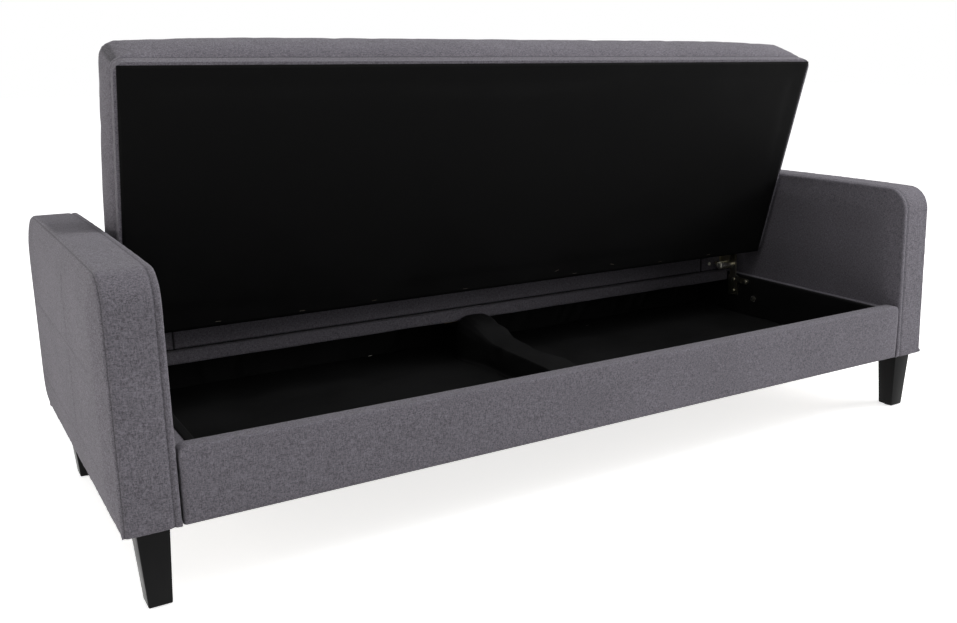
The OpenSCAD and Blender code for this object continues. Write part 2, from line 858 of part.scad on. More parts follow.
module seat_cushion() {
    corners = [corner_r, corner_r, corner_r, corner_r];
    color(cloth_grey) from_front() raised() difference() {
        translate([0, seat_front + seat_d / 2, seat_z])
            padded(seat_w, seat_d, seat_t + seat_crown, corners,
                face_steps(base_edge_r, 0, 0),
                face_steps(seat_edge_r, seat_crown, seat_d / 2 - 2 * corner_r), draw_in);
        frame_pocket(seat_frame_y[0], seat_frame_y[1]);
        both_sides() flange_seat(seat_flange_y);
    }
}

// Clears the cover away behind a bracket's flange
module flange_seat(y) {
    translate([flange_x - soft_gap, y, flange_z - soft_gap])
        cube([box_x - flange_x, hinge_pad + cut_over, flange_h + 2 * soft_gap]);
}

module seat_frame() {
    color(timber) from_front() raised() difference() {
        frame_body(seat_frame_y[0], seat_frame_y[1]);
        both_sides() flange_holes(seat_flange_y + ear_t, -1);
    }
}

module seat_slats() {
    color(timber) from_front() raised() slats(seat_frame_y[0], seat_frame_y[1]);
}

module seat_lining() {
    color(black_cloth) from_front() raised() under_lining(seat_front + lining_rim, seat_rear - hinge_pad / 2);
}

// Point on the rim of a plate's eye
function eye_point(angle) = [pivot_y + eye_r * cos(angle), pivot_z + eye_r * sin(angle)];

// Seat bracket: a flange on the seat's rear face and an ear on the pivot
module seat_bracket(left) {
    low = [seat_flange_y + ear_t, flange_z];
    color(zinc) from_front() raised() on_side(left) difference() {
        union() {
            across(seat_ear_x, ear_t) difference() {
                union() {
                    translate([pivot_y, pivot_z]) circle(r = eye_r);
                    polygon([
                        low,
                        [low[0], pivot_z - ear_t],
                        eye_point(seat_neck_angles[0]),
                        eye_point(seat_neck_angles[1]),
                        [low[0] + ear_t, flange_z]
                    ]);
                    translate([seat_flange_y, flange_z]) square([ear_t, flange_h]);
                }
                translate([pivot_y, pivot_z]) circle(r = pivot_r + pivot_fit);
            }
            translate([flange_x, seat_flange_y, flange_z])
                cube([seat_ear_x + ear_t - flange_x, ear_t, flange_h]);
        }
        flange_holes(seat_flange_y + ear_t, -1);
    }
}

module seat_bracket_screws() {
    color(zinc) from_front() raised() both_sides() flange_screws(seat_flange_y + ear_t, -1);
}

// Ratchet on the seat bracket: teeth on the side away from the seat. Each has
// a steep face that the pawl bears on and a long back that it rides over.
function ratchet_outline() = [
    for (k = [0:tooth_count - 1], part = [0, 1])
        let (
            a = ratchet_turn + tooth_lead + (k - teeth_before_nose) * tooth_step,
            r = part == 0 ? ratchet_r - tooth_h : ratchet_r
        )
        [r * cos(a + part), r * sin(a + part)]
];

module ratchets() {
    root = ratchet_r - tooth_h;
    flat_y = eye_r - rest_gap;
    color(zinc) from_front() raised() both_sides()
        across(ratchet_x, ratchet_t) translate([pivot_y, pivot_z]) difference() {
            union() {
                intersection() {
                    circle(r = root);
                    translate([-flat_y, -ratchet_r]) square([2 * ratchet_r, 2 * ratchet_r]);
                }
                polygon(concat([[0, 0]], ratchet_outline()));
            }
            circle(r = pivot_r + pivot_fit);
        }
}

// Backrest, as it lies flat
back_frame_y = [back_front + hinge_pad, back_end - frame_pad];
back_flange_y = back_front + hinge_pad - ear_t;

module back_cushion() {
    corners = [corner_r, corner_r, corner_r, corner_r];
    top_z = seat_z + back_t + back_crown;
    heel_z = seat_z + back_t - back_heel_r;
    color(cloth_grey) from_front() difference() {
        translate([0, back_front + back_l / 2, seat_z])
            padded(seat_w, back_l, back_t + back_crown, corners,
                face_steps(base_edge_r, 0, 0),
                face_steps(back_edge_r, back_crown, back_l / 2 - 2 * corner_r), draw_in);
        difference() {
            translate([-overall_w / 2, back_front - cut_over, heel_z])
                cube([overall_w, back_heel_r + cut_over, top_z - heel_z + cut_over]);
            bar_x(-overall_w / 2 - cut_over, back_front + back_heel_r, heel_z,
                back_heel_r, overall_w + 2 * cut_over);
        }
        frame_pocket(back_frame_y[0], back_frame_y[1]);
        both_sides() translate([0, -hinge_pad - cut_over, 0]) flange_seat(back_front + hinge_pad);
    }
}

module back_frame() {
    color(timber) from_front() difference() {
        frame_body(back_frame_y[0], back_frame_y[1]);
        both_sides() flange_holes(back_flange_y, 1);
    }
}

module back_slats() {
    color(timber) from_front() slats(back_frame_y[0], back_frame_y[1]);
}

module back_lining() {
    color(black_cloth) from_front() under_lining(back_front + hinge_pad / 2, back_end - lining_rim);
}

// Back bracket: a flange on the backrest's lower face, an ear on the pivot,
// a hole for the pawl's pin and a heel that lies on the stop sleeve
module back_bracket(left) {
    heel_z = sleeve[1] + sleeve_r + rest_gap;
    rear = back_flange_y + ear_t;
    color(zinc) from_front() on_side(left) difference() {
        union() {
            across(back_ear_x, ear_t) difference() {
                union() {
                    translate([pivot_y, pivot_z]) circle(r = eye_r);
                    polygon([
                        eye_point(back_neck_angles[0]),
                        [sleeve[0] - sleeve_back, heel_z],
                        [sleeve[0] + sleeve_r, heel_z],
                        [back_flange_y, flange_z],
                        [rear, flange_z],
                        [rear, flange_z + flange_h],
                        [back_flange_y, flange_z + flange_h],
                        eye_point(back_neck_angles[1])
                    ]);
                }
                translate([pivot_y, pivot_z]) circle(r = pivot_r + pivot_fit);
                translate(pawl_pin) circle(r = pawl_pin_r);
            }
            translate([flange_x, back_flange_y, flange_z])
                cube([flange_w + ear_t, ear_t, flange_h]);
        }
        flange_holes(back_flange_y, 1);
    }
}

module back_bracket_screws() {
    color(zinc) from_front() both_sides() flange_screws(back_flange_y, 1);
}

// Pins fixed in the back brackets, on which the pawls turn
module pawl_pins() {
    color(zinc) from_front() both_sides()
        bar_x(back_ear_x, pawl_pin[0], pawl_pin[1], pawl_pin_r, ear_t + washer_t + ratchet_t - rest_gap);
}

// Pawl: a boss on its pin and a nose between two teeth
module pawl(left) {
    neck_r = pawl_boss_r / 2;
    neck = pawl_pin + (nose - pawl_pin) * neck_share + [neck_out, 0];
    color(zinc) from_front() on_side(left)
        across(ratchet_x + rest_gap, ratchet_t - 2 * rest_gap) difference() {
            union() {
                translate(pawl_pin) circle(r = pawl_boss_r);
                link(pawl_pin, neck, neck_r);
                link(neck, nose, pawl_nose_r);
            }
            translate(pawl_pin) circle(r = pawl_pin_r + pivot_fit);
        }
}

arm(true);  // left_arm
arm(false);  // right_arm
arm_frame(true);  // left_arm_frame
arm_frame(false);  // right_arm_frame
front_rail();
front_rail_cover();
side_rail(true);  // left_side_rail
side_rail(false);  // right_side_rail
ledge_cover(true);  // left_ledge_cover
ledge_cover(false);  // right_ledge_cover
rear_board();
rear_cover();
rear_deck();
rear_deck_cover();
floor_panel();
bay_lining(true);  // left_bay_lining
bay_lining(false);  // right_bay_lining
centre_beam();
centre_post();
divider_drape();
leg(true, false);  // front_left_leg
leg(false, false);  // front_right_leg
leg(true, true);  // rear_left_leg
leg(false, true);  // rear_right_leg
leg_plates();
leg_bolts();
leg_glides();
arm_bolts();
base_plate(true);  // left_base_plate
base_plate(false);  // right_base_plate
base_plate_screws();
pivot_bolts();
pivot_nuts();
pivot_washers();
stop_sleeves();
stop_bolts();
seat_cushion();
seat_frame();
seat_slats();
seat_lining();
seat_bracket(true);  // left_seat_bracket
seat_bracket(false);  // right_seat_bracket
seat_bracket_screws();
ratchets();
back_cushion();
back_frame();
back_slats();
back_lining();
back_bracket(true);  // left_back_bracket
back_bracket(false);  // right_back_bracket
back_bracket_screws();
pawl_pins();
pawl(true);  // left_pawl
pawl(false);  // right_pawl
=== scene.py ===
"""Looks of a storage sofa with a lift-up seat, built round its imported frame.

The sofa stands open: the seat is raised and the backrest lies flat behind it.
Sizes are in metres. X runs across the sofa, its front faces -Y, and Z is up.
Each padded piece starts as a primitive, is stuffed by a cloth simulation and
then gets its sewn seams.
"""

import json
import logging
import math
from dataclasses import dataclass
from enum import Enum
from typing import Callable, Optional, Sequence

import bmesh
import bpy
import numpy as np
from mathutils import Matrix, Vector


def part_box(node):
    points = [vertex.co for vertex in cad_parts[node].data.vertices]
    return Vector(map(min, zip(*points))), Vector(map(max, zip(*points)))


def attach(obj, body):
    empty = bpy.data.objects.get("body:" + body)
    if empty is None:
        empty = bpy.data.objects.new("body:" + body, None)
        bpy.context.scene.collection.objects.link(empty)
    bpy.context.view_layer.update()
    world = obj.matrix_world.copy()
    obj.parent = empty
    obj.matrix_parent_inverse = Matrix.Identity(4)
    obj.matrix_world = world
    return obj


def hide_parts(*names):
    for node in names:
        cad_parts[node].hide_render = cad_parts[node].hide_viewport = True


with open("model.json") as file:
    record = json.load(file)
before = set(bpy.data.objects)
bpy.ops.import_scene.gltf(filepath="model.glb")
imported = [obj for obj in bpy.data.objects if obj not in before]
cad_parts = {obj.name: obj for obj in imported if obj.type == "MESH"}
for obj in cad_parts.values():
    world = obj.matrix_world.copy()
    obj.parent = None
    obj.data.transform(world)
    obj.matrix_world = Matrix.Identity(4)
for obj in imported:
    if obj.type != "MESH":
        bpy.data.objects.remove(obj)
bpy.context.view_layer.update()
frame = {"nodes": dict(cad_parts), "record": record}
LOG = logging.getLogger("sofa")
Points = np.ndarray

# Shared places, from the front plane and from the frame
FRONT_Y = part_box("left_arm")[0].y
PIVOT_Y = FRONT_Y + 0.613
PIVOT_Z = 0.3818
LIFT_DEGREES = 72.0
CLOSED_TO_RAISED = (
    Matrix.Translation((0, PIVOT_Y, PIVOT_Z))
    @ Matrix.Rotation(math.radians(-LIFT_DEGREES), 4, "X")
    @ Matrix.Translation((0, -PIVOT_Y, -PIVOT_Z))
)


class Side(Enum):
    """One end of the sofa, with the sign of its X."""

    LEFT = -1
    RIGHT = 1

    @property
    def word(self) -> str:
        """The side's name in lower case."""
        return self.name.lower()


# Modelling calls that the pieces share


def select_only(obj: bpy.types.Object) -> None:
    """Makes one object the only one selected, and the active one.

    Args:
        obj: The object to work on.
    """
    bpy.ops.object.select_all(action="DESELECT")
    obj.select_set(True)
    bpy.context.view_layer.objects.active = obj


def add_block(name: str, low: Sequence[float], high: Sequence[float]) -> bpy.types.Object:
    """Adds a cube primitive between two corners.

    Args:
        name: Name of the new piece.
        low: Its lowest corner.
        high: Its highest corner.

    Returns:
        The new object, with its place in its mesh.
    """
    bpy.ops.object.select_all(action="DESELECT")
    low_corner, high_corner = Vector(low), Vector(high)
    bpy.ops.mesh.primitive_cube_add(size=1, location=(low_corner + high_corner) / 2)
    obj = bpy.context.object
    obj.name = obj.data.name = name
    obj.scale = high_corner - low_corner
    bpy.ops.object.transform_apply(location=True, rotation=True, scale=True)
    return obj


def bevel_edges(obj: bpy.types.Object, test: Callable[[Vector, Vector], bool], radius: float,
                segments: int) -> None:
    """Rounds the edges that a test picks.

    Args:
        obj: The piece.
        test: Says of an edge's two ends whether the edge is rounded.
        radius: Radius of the rounding.
        segments: Number of faces round it.
    """
    select_only(obj)
    bpy.ops.object.mode_set(mode="EDIT")
    bpy.ops.mesh.select_mode(type="EDGE")
    bpy.ops.mesh.select_all(action="DESELECT")
    mesh = bmesh.from_edit_mesh(obj.data)
    for edge in mesh.edges:
        edge.select_set(test(edge.verts[0].co, edge.verts[1].co))
    mesh.select_flush(True)
    bmesh.update_edit_mesh(obj.data)
    bpy.ops.mesh.bevel(offset=radius, offset_type="OFFSET", segments=segments, profile=0.5,
                       affect="EDGES", clamp_overlap=False)
    bpy.ops.object.mode_set(mode="OBJECT")


def delete_faces(obj: bpy.types.Object, test: Callable[[Vector, Vector], bool]) -> None:
    """Deletes the faces that a test picks.

    Args:
        obj: The piece.
        test: Says of a face's middle and normal whether the face goes.
    """
    select_only(obj)
    bpy.ops.object.mode_set(mode="EDIT")
    bpy.ops.mesh.select_mode(type="FACE")
    bpy.ops.mesh.select_all(action="DESELECT")
    mesh = bmesh.from_edit_mesh(obj.data)
    for face in mesh.faces:
        face.select_set(test(face.calc_center_median(), face.normal))
    bmesh.update_edit_mesh(obj.data)
    bpy.ops.mesh.delete(type="FACE")
    bpy.ops.object.mode_set(mode="OBJECT")


def apply_modifier(obj: bpy.types.Object, kind: str, **values: object) -> None:
    """Adds a modifier and applies it.

    Args:
        obj: The piece.
        kind: Blender's name for the modifier.
        **values: The modifier's settings.
    """
    modifier = obj.modifiers.new(kind.title(), kind)
    for name, value in values.items():
        setattr(modifier, name, value)
    select_only(obj)
    bpy.ops.object.modifier_apply(modifier=modifier.name)


def read_points(obj: bpy.types.Object) -> Points:
    """Reads a mesh's points.

    Args:
        obj: The piece.

    Returns:
        One row of three numbers for each point.
    """
    points = np.empty(len(obj.data.vertices) * 3)
    obj.data.vertices.foreach_get("co", points)
    return points.reshape(-1, 3)


def write_points(obj: bpy.types.Object, points: Points) -> None:
    """Moves a mesh's points.

    Args:
        obj: The piece.
        points: One row of three numbers for each point.
    """
    obj.data.vertices.foreach_set("co", points.ravel())
    obj.data.update()


def read_normals(obj: bpy.types.Object) -> Points:
    """Reads the normals of a mesh's points.

    Args:
        obj: The piece.

    Returns:
        One row of three numbers for each point.
    """
    normals = np.empty(len(obj.data.vertices) * 3)
    obj.data.vertex_normals.foreach_get("vector", normals)
    return normals.reshape(-1, 3)


def subdivide_near(obj: bpy.types.Object, near: Callable[[Points], Points], cuts: int = 1) -> None:
    """Cuts the faces near a seam into smaller ones.

    Args:
        obj: The piece.
        near: Says of each point whether it is near.
        cuts: Number of cuts in each edge.
    """
    chosen = near(read_points(obj))
    mesh = obj.data
    corners = np.empty(len(mesh.loops), np.int32)
    mesh.loops.foreach_get("vertex_index", corners)
    starts = np.empty(len(mesh.polygons), np.int32)
    mesh.polygons.foreach_get("loop_start", starts)
    faces = np.logical_and.reduceat(chosen[corners], starts)
    select_only(obj)
    bpy.ops.object.mode_set(mode="EDIT")
    bpy.ops.mesh.select_mode(type="FACE")
    bpy.ops.mesh.select_all(action="DESELECT")
    bpy.ops.object.mode_set(mode="OBJECT")
    mesh.polygons.foreach_set("select", faces)
    bpy.ops.object.mode_set(mode="EDIT")
    bpy.ops.mesh.subdivide(number_cuts=cuts, smoothness=0)
    bpy.ops.object.mode_set(mode="OBJECT")


def smooth(obj: bpy.types.Object, flat_corners: int = 100) -> None:
    """Shades a piece smooth, apart from cut faces with very many corners.

    Args:
        obj: The piece.
        flat_corners: Number of corners from which a face is shaded flat.
    """
    select_only(obj)
    bpy.ops.object.shade_smooth()
    for face in obj.data.polygons:
        if len(face.vertices) > flat_corners:
            face.use_smooth = False


def ripple(points: Points, wave_length: float, seed: int, waves: int = 9) -> Points:
    """Gives smooth random values over space, from plane waves in random directions.

    Args:
        points: Where the values are wanted.
        wave_length: Length of the waves.
        seed: Start of the random draws.
        waves: Number of waves.

    Returns:
        One value from about -1 to 1 for each point.
    """
    draw = np.random.default_rng(seed)
    total = np.zeros(len(points))
    for _ in range(waves):
        direction = draw.normal(size=3)
        direction /= np.linalg.norm(direction)
        pace = 2 * math.pi / (wave_length * draw.uniform(0.7, 1.5))
        total += np.sin(points @ direction * pace + draw.uniform(0, 2 * math.pi))
    return total / math.sqrt(waves)


def smooth_step(value: Points, low: float, high: float) -> Points:
    """Rises smoothly from 0 at low to 1 at high."""
    share = np.clip((value - low) / (high - low), 0, 1)
    return share * share * (3 - 2 * share)


def rounded_outline(flat: Points, low: Sequence[float], high: Sequence[float],
                    radii: Sequence[Sequence[float]]) -> tuple:
    """Measures how far points lie inside a rectangle with rounded corners.

    Args:
        flat: Two numbers for each point.
        low: The rectangle's lowest corner.
        high: Its highest corner.
        radii: The corner radii, by the side of the first axis and then of the second.

    Returns:
        Each point's distance inside the outline, and the direction straight outwards there.
    """
    low_corner, high_corner = np.array(low), np.array(high)
    middle, half = (low_corner + high_corner) / 2, (high_corner - low_corner) / 2
    above = (flat > middle).astype(int)
    radius = np.array(radii)[above[:, 0], above[:, 1]]
    reach = np.abs(flat - middle) - half + radius[:, None]
    over = np.maximum(reach, 0)
    length = np.linalg.norm(over, axis=1)
    inside = radius - length - np.minimum(reach.max(1), 0)
    along = np.stack([reach[:, 0] >= reach[:, 1], reach[:, 0] < reach[:, 1]], axis=1).astype(float)
    round_way = over / np.maximum(length, 1e-9)[:, None]
    way = np.where((reach.min(1) > 0)[:, None], round_way, along)
    return inside, way * np.where(above, 1, -1)


def square_up(first: Points, second: Points, reach: float, power: float) -> tuple:
    """Turns a soft edge between two faces into a crisper one.

    Args:
        first: Each point's depth under the first face.
        second: Its depth under the second face.
        reach: How far from the edge the points move.
        power: How crisp the edge becomes; 2 is a quarter circle.

    Returns:
        How far each point moves out of the first face and out of the second.
    """
    near = (first < reach) & (second < reach)
    out_first, out_second = np.maximum(reach - first, 1e-9), np.maximum(reach - second, 1e-9)
    size = (out_first ** power + out_second ** power) ** (1 / power)
    grow = np.where(near, reach / size - 1, 0)
    limit = reach * 0.5
    return np.clip(out_first * grow, -limit, limit), np.clip(out_second * grow, -limit, limit)


# Stuffing and sewing


@dataclass(frozen=True)
class Stuffing:
    """How a padded piece is blown up."""

    voxel: float = 0.008
    pressure: float = 4.0
    cap: float = 0.012
    spare: float = 0.004
    frames: int = 20
    calm: int = 3

    def fill(self, obj: bpy.types.Object, held: Callable[[Points], Points]) -> None:
        """Remeshes a piece, swells it as cloth under pressure, and makes it finer.

        Args:
            obj: The piece.
            held: Gives each point's hold on its place, from 0 to 1.
        """
        obj.data.remesh_voxel_size = self.voxel
        select_only(obj)
        bpy.ops.object.voxel_remesh()
        start = read_points(obj)
        hold = held(start)
        group = obj.vertex_groups.new(name="held")
        for index, weight in enumerate(hold):
            if weight > 0:
                group.add([index], float(weight), "REPLACE")
        cloth = obj.modifiers.new("Cloth", "CLOTH")
        cloth.settings.quality = 4
        cloth.settings.mass = 0.25
        cloth.settings.tension_stiffness = 12
        cloth.settings.compression_stiffness = 12
        cloth.settings.shear_stiffness = 4
        cloth.settings.bending_stiffness = 4.0
        cloth.settings.use_pressure = True
        cloth.settings.uniform_pressure_force = self.pressure
        cloth.settings.shrink_min = -self.spare
        cloth.settings.effector_weights.gravity = 0
        cloth.settings.vertex_group_mass = group.name
        cloth.collision_settings.use_collision = False
        cloth.point_cache.frame_start = 1
        cloth.point_cache.frame_end = self.frames
        for step in range(1, self.frames + 1):
            bpy.context.scene.frame_set(step)
        select_only(obj)
        bpy.ops.object.modifier_apply(modifier=cloth.name)
        bpy.context.scene.frame_set(1)
        moved = read_points(obj) - start
        reach = np.linalg.norm(moved, axis=1, keepdims=True)
        moved *= np.minimum(1, self.cap / np.maximum(reach, 1e-9))
        write_points(obj, start + self.calmed(obj, moved))
        obj.vertex_groups.clear()
        apply_modifier(obj, "SUBSURF", levels=1, render_levels=1)

    def calmed(self, obj: bpy.types.Object, moved: Points) -> Points:
        """Evens out how far neighbouring points have moved.

        Args:
            obj: The piece.
            moved: How far each point has moved.

        Returns:
            The evened moves.
        """
        ends = np.empty(len(obj.data.edges) * 2, np.int32)
        obj.data.edges.foreach_get("vertices", ends)
        ends = ends.reshape(-1, 2)
        count = np.bincount(ends.ravel(), minlength=len(moved))[:, None]
        for _ in range(self.calm):
            around = np.zeros_like(moved)
            np.add.at(around, ends[:, 0], moved[ends[:, 1]])
            np.add.at(around, ends[:, 1], moved[ends[:, 0]])
            moved = (moved + around / np.maximum(count, 1)) / 2
        return moved


@dataclass(frozen=True)
class Seam:
    """A sewn seam, pressed into a padded piece and darkened along its middle as painted shade."""

    away: Callable[[Points], Points]
    depth: float = 0.0022
    half_width: float = 0.0045
    pucker: float = 0.0006
    pucker_length: float = 0.022
    painted_shade: float = 1.0
    seed: int = 1

    def sew(self, obj: bpy.types.Object) -> None:
        """Presses the seam in, and paints shade along it in the cloth's colour.

        Args:
            obj: The piece.
        """
        reach = 4 * self.half_width
        subdivide_near(obj, lambda points: self.away(points) < reach)
        points = read_points(obj)
        normals = read_normals(obj)
        distance = self.away(points)
        press = np.exp(-((distance / self.half_width) ** 2))
        gathers = np.exp(-((distance / (3.2 * self.half_width)) ** 2)) - press * 0.6
        puckers = ripple(points, self.pucker_length, self.seed) * self.pucker * gathers
        shift = puckers - press * self.depth
        write_points(obj, points + normals * shift[:, None])
        # Painted shade: a narrow band along the seam's middle darkens the cloth's colour.
        paint_seam_shade(obj, self.painted_shade * np.exp(-((distance / (0.32 * self.half_width)) ** 2)))


def paint_seam_shade(obj: bpy.types.Object, mask: Points) -> None:
    """Adds to the piece's seam attribute, which its cloth reads as painted shade.

    Args:
        obj: The piece.
        mask: One value for each point: 1 for a seam's painted shade, and up to 2 for near-black painted shade in
            a slit or along a foot.
    """
    attribute = obj.data.attributes.get("seam") or obj.data.attributes.new("seam", "FLOAT", "POINT")
    before = np.zeros(len(obj.data.vertices), np.float32)
    attribute.data.foreach_get("value", before)
    attribute.data.foreach_set("value", np.maximum(before, mask).astype(np.float32))


# Node trees


class Tree:
    """A node tree with short calls to add and join nodes."""

    def __init__(self, tree: bpy.types.NodeTree) -> None:
        """Keeps the tree that the calls work on."""
        self.tree = tree

    def add(self, kind: str, inputs: Optional[dict] = None, **settings: object) -> bpy.types.Node:
        """Adds a node.

        Args:
            kind: Blender's name for the node.
            inputs: Values or sockets for its inputs, by name or number.
            **settings: Its other settings.

        Returns:
            The new node.
        """
        node = self.tree.nodes.new(kind)
        for name, value in settings.items():
            setattr(node, name, value)
        for name, value in (inputs or {}).items():
            socket = node.inputs[name]
            if isinstance(value, bpy.types.NodeSocket):
                self.tree.links.new(value, socket)
            else:
                socket.default_value = value
        return node

    def math(self, operation: str, *values: object) -> bpy.types.NodeSocket:
        """Adds a maths node and gives its result."""
        node = self.add("ShaderNodeMath", dict(enumerate(values)), operation=operation)
        return node.outputs[0]

    def vector(self, operation: str, *values: object) -> bpy.types.NodeSocket:
        """Adds a vector maths node and gives its vector."""
        node = self.add("ShaderNodeVectorMath", dict(enumerate(values)), operation=operation)
        return node.outputs[0]

    def noise(self, vector: bpy.types.NodeSocket, scale: float, detail: float = 2.0,
              roughness: float = 0.5) -> bpy.types.NodeSocket:
        """Adds a noise texture and gives its value."""
        node = self.add("ShaderNodeTexNoise", {"Vector": vector, "Scale": scale, "Detail": detail,
                                               "Roughness": roughness})
        return node.outputs["Fac"]

    def mix_color(self, share: object, first: object, second: object) -> bpy.types.NodeSocket:
        """Mixes two colours and gives the result."""
        node = self.add("ShaderNodeMix", data_type="RGBA")
        for socket, value in ((node.inputs[0], share), (node.inputs[6], first), (node.inputs[7], second)):
            if isinstance(value, bpy.types.NodeSocket):
                self.tree.links.new(value, socket)
            else:
                socket.default_value = value
        return node.outputs[2]

    def ranged(self, value: bpy.types.NodeSocket, low: float, high: float, to_low: float,
               to_high: float) -> bpy.types.NodeSocket:
        """Maps a value from one range to another and gives the result."""
        node = self.add("ShaderNodeMapRange", {0: value, 1: low, 2: high, 3: to_low, 4: to_high})
        return node.outputs[0]


def new_group(name: str, inputs: dict, outputs: dict) -> tuple:
    """Starts a shader node group.

    Args:
        name: The group's name.
        inputs: Its inputs' socket types, by name.
        outputs: Its outputs' socket types, by name.

    Returns:
        The group, its tree helper, its input node and its output node.
    """
    group = bpy.data.node_groups.new(name, "ShaderNodeTree")
    for label, kind in inputs.items():
        group.interface.new_socket(label, in_out="INPUT", socket_type=kind)
    for label, kind in outputs.items():
        group.interface.new_socket(label, in_out="OUTPUT", socket_type=kind)
    tree = Tree(group)
    return group, tree, tree.add("NodeGroupInput"), tree.add("NodeGroupOutput")


def weave_group() -> bpy.types.NodeTree:
    """Makes the woven cloth's group: a plain weave in three planes, chosen by the normal.

    Returns:
        The group, which puts out the threads' height and their tone.
    """
    group, tree, source, sink = new_group(
        "woven_cloth",
        {"Point": "NodeSocketVector", "Normal": "NodeSocketVector", "Threads": "NodeSocketFloat",
         "Slubs": "NodeSocketFloat"},
        {"Height": "NodeSocketFloat", "Tone": "NodeSocketFloat"},
    )
    paced = tree.add("ShaderNodeVectorMath", {0: source.outputs["Point"], 3: source.outputs["Threads"]},
                     operation="SCALE").outputs[0]
    parts = tree.add("ShaderNodeSeparateXYZ", {0: paced}).outputs
    waves = [tree.math("SINE", tree.math("MULTIPLY", part, 2 * math.pi)) for part in parts]
    squared = tree.vector("MULTIPLY", source.outputs["Normal"], source.outputs["Normal"])
    facing = tree.add("ShaderNodeSeparateXYZ", {0: squared}).outputs
    height: object = 0.0
    for axis in range(3):
        first, second = waves[(axis + 1) % 3], waves[(axis + 2) % 3]
        crossing = tree.math("MULTIPLY", first, second)
        height = tree.math("MULTIPLY_ADD", crossing, facing[axis], height)
    tone: object = 0.0
    for axis in range(3):
        stretch = [1.0, 1.0, 1.0]
        stretch[axis] = 0.3
        along = tree.vector("MULTIPLY", source.outputs["Point"], tuple(stretch))
        node = tree.add("ShaderNodeTexNoise", {"Vector": along, "Scale": source.outputs["Slubs"],
                                               "Detail": 1.0, "Roughness": 0.5})
        tone = tree.math("ADD", tone, node.outputs["Fac"])
    tone = tree.math("DIVIDE", tone, 3.0)
    tree.tree.links.new(height, sink.inputs["Height"])
    tree.tree.links.new(tone, sink.inputs["Tone"])
    return group


def grain_group() -> bpy.types.NodeTree:
    """Makes the wood grain's group.

    Returns:
        The group, which puts out the grain as a value from 0 to 1.
    """
    group, tree, source, sink = new_group(
        "wood_grain", {"Point": "NodeSocketVector", "Scale": "NodeSocketFloat"},
        {"Grain": "NodeSocketFloat"},
    )
    bent = tree.add("ShaderNodeTexNoise", {"Vector": source.outputs["Point"], "Scale": 2.0, "Detail": 2.0})
    moved = tree.add("ShaderNodeVectorMath", {0: bent.outputs["Color"], 3: 0.6}, operation="SCALE").outputs[0]
    point = tree.vector("ADD", source.outputs["Point"], moved)
    wave = tree.add("ShaderNodeTexWave", {"Vector": point, "Scale": source.outputs["Scale"],
                                          "Distortion": 3.0, "Detail": 2.0}, wave_type="RINGS")
    fine = tree.noise(point, 40.0, 3.0)
    mixed = tree.math("MULTIPLY_ADD", fine, 0.35, tree.math("MULTIPLY", wave.outputs["Fac"], 0.65))
    tree.tree.links.new(mixed, sink.inputs["Grain"])
    return group


class Groups:
    """The node groups, each made once."""

    weave: bpy.types.NodeTree = weave_group()
    grain: bpy.types.NodeTree = grain_group()


# Finishes

Color = tuple


def shaded(color: Color, share: float) -> Color:
    """A colour times a share, with full alpha."""
    return tuple(channel * share for channel in color[:3]) + (1.0,)


@dataclass(frozen=True)
class Finish:
    """What every finish holds."""

    name: str
    color: Color

    def start(self) -> tuple:
        """Starts the material.

        Returns:
            The material, its tree helper and its shader node.
        """
        material = bpy.data.materials.new(self.name)
        material.use_nodes = True
        tree = Tree(material.node_tree)
        return material, tree, material.node_tree.nodes["Principled BSDF"]


@dataclass(frozen=True)
class Woven(Finish):
    """Flat woven upholstery cloth with mixed light and dark threads."""

    pitch: float = 0.0016
    slubs: float = 560.0
    contrast: float = 0.41
    turn: float = 0.0

    def make(self) -> bpy.types.Material:
        """Makes the material.

        Returns:
            The finished material.
        """
        material, tree, shader = self.start()
        place = tree.add("ShaderNodeTexCoord")
        turned = (math.radians(self.turn), 0.0, 0.0)
        point = tree.add("ShaderNodeMapping", {"Vector": place.outputs["Object"], "Rotation": turned})
        normal = tree.add("ShaderNodeMapping", {"Vector": place.outputs["Normal"], "Rotation": turned},
                          vector_type="VECTOR")
        weave = tree.add("ShaderNodeGroup", node_tree=Groups.weave)
        for label, value in (("Point", point.outputs[0]), ("Normal", normal.outputs[0])):
            tree.tree.links.new(value, weave.inputs[label])
        weave.inputs["Threads"].default_value = 1 / self.pitch
        weave.inputs["Slubs"].default_value = self.slubs
        tone = tree.ranged(weave.outputs["Tone"], 0.38, 0.62, 0.0, 1.0)
        body = tree.mix_color(tone, shaded(self.color, 1 - self.contrast), shaded(self.color, 1 + self.contrast))
        cloudy = tree.ranged(tree.noise(point.outputs[0], 5.0, 3.0), 0.3, 0.7, 0.94, 1.06)
        # Painted shade between threads: the weave's low points darken the colour a little and its crossings
        # lighten it.
        thread_gap_shade = tree.ranged(weave.outputs["Height"], -1.0, 1.0, 0.9, 1.06)
        # Painted shade: the seam attribute darkens the colour along seams, pressed lines, slits and the back
        # cushion's foot; 1 halves it and 2 makes it black.
        seam = tree.add("ShaderNodeAttribute", attribute_name="seam").outputs["Fac"]
        seam_painted_shade = tree.ranged(seam, 0.0, 2.0, 1.0, 0.0)
        level = tree.math("MULTIPLY", tree.math("MULTIPLY", cloudy, thread_gap_shade), seam_painted_shade)
        body_with_painted_shade = tree.vector("MULTIPLY", body, tree.add("ShaderNodeCombineXYZ",
                                                     {0: level, 1: level, 2: level}).outputs[0])
        tree.tree.links.new(body_with_painted_shade, shader.inputs["Base Color"])
        raised = tree.math("MULTIPLY_ADD", weave.outputs["Height"], 0.5, tone)
        bump = tree.add("ShaderNodeBump", {"Height": raised, "Strength": 0.35, "Distance": 0.0006})
        tree.tree.links.new(bump.outputs[0], shader.inputs["Normal"])
        shader.inputs["Roughness"].default_value = 0.92
        shader.inputs["Specular IOR Level"].default_value = 0.12
        shader.inputs["Sheen Weight"].default_value = 0.12
        shader.inputs["Sheen Roughness"].default_value = 0.5
        return material


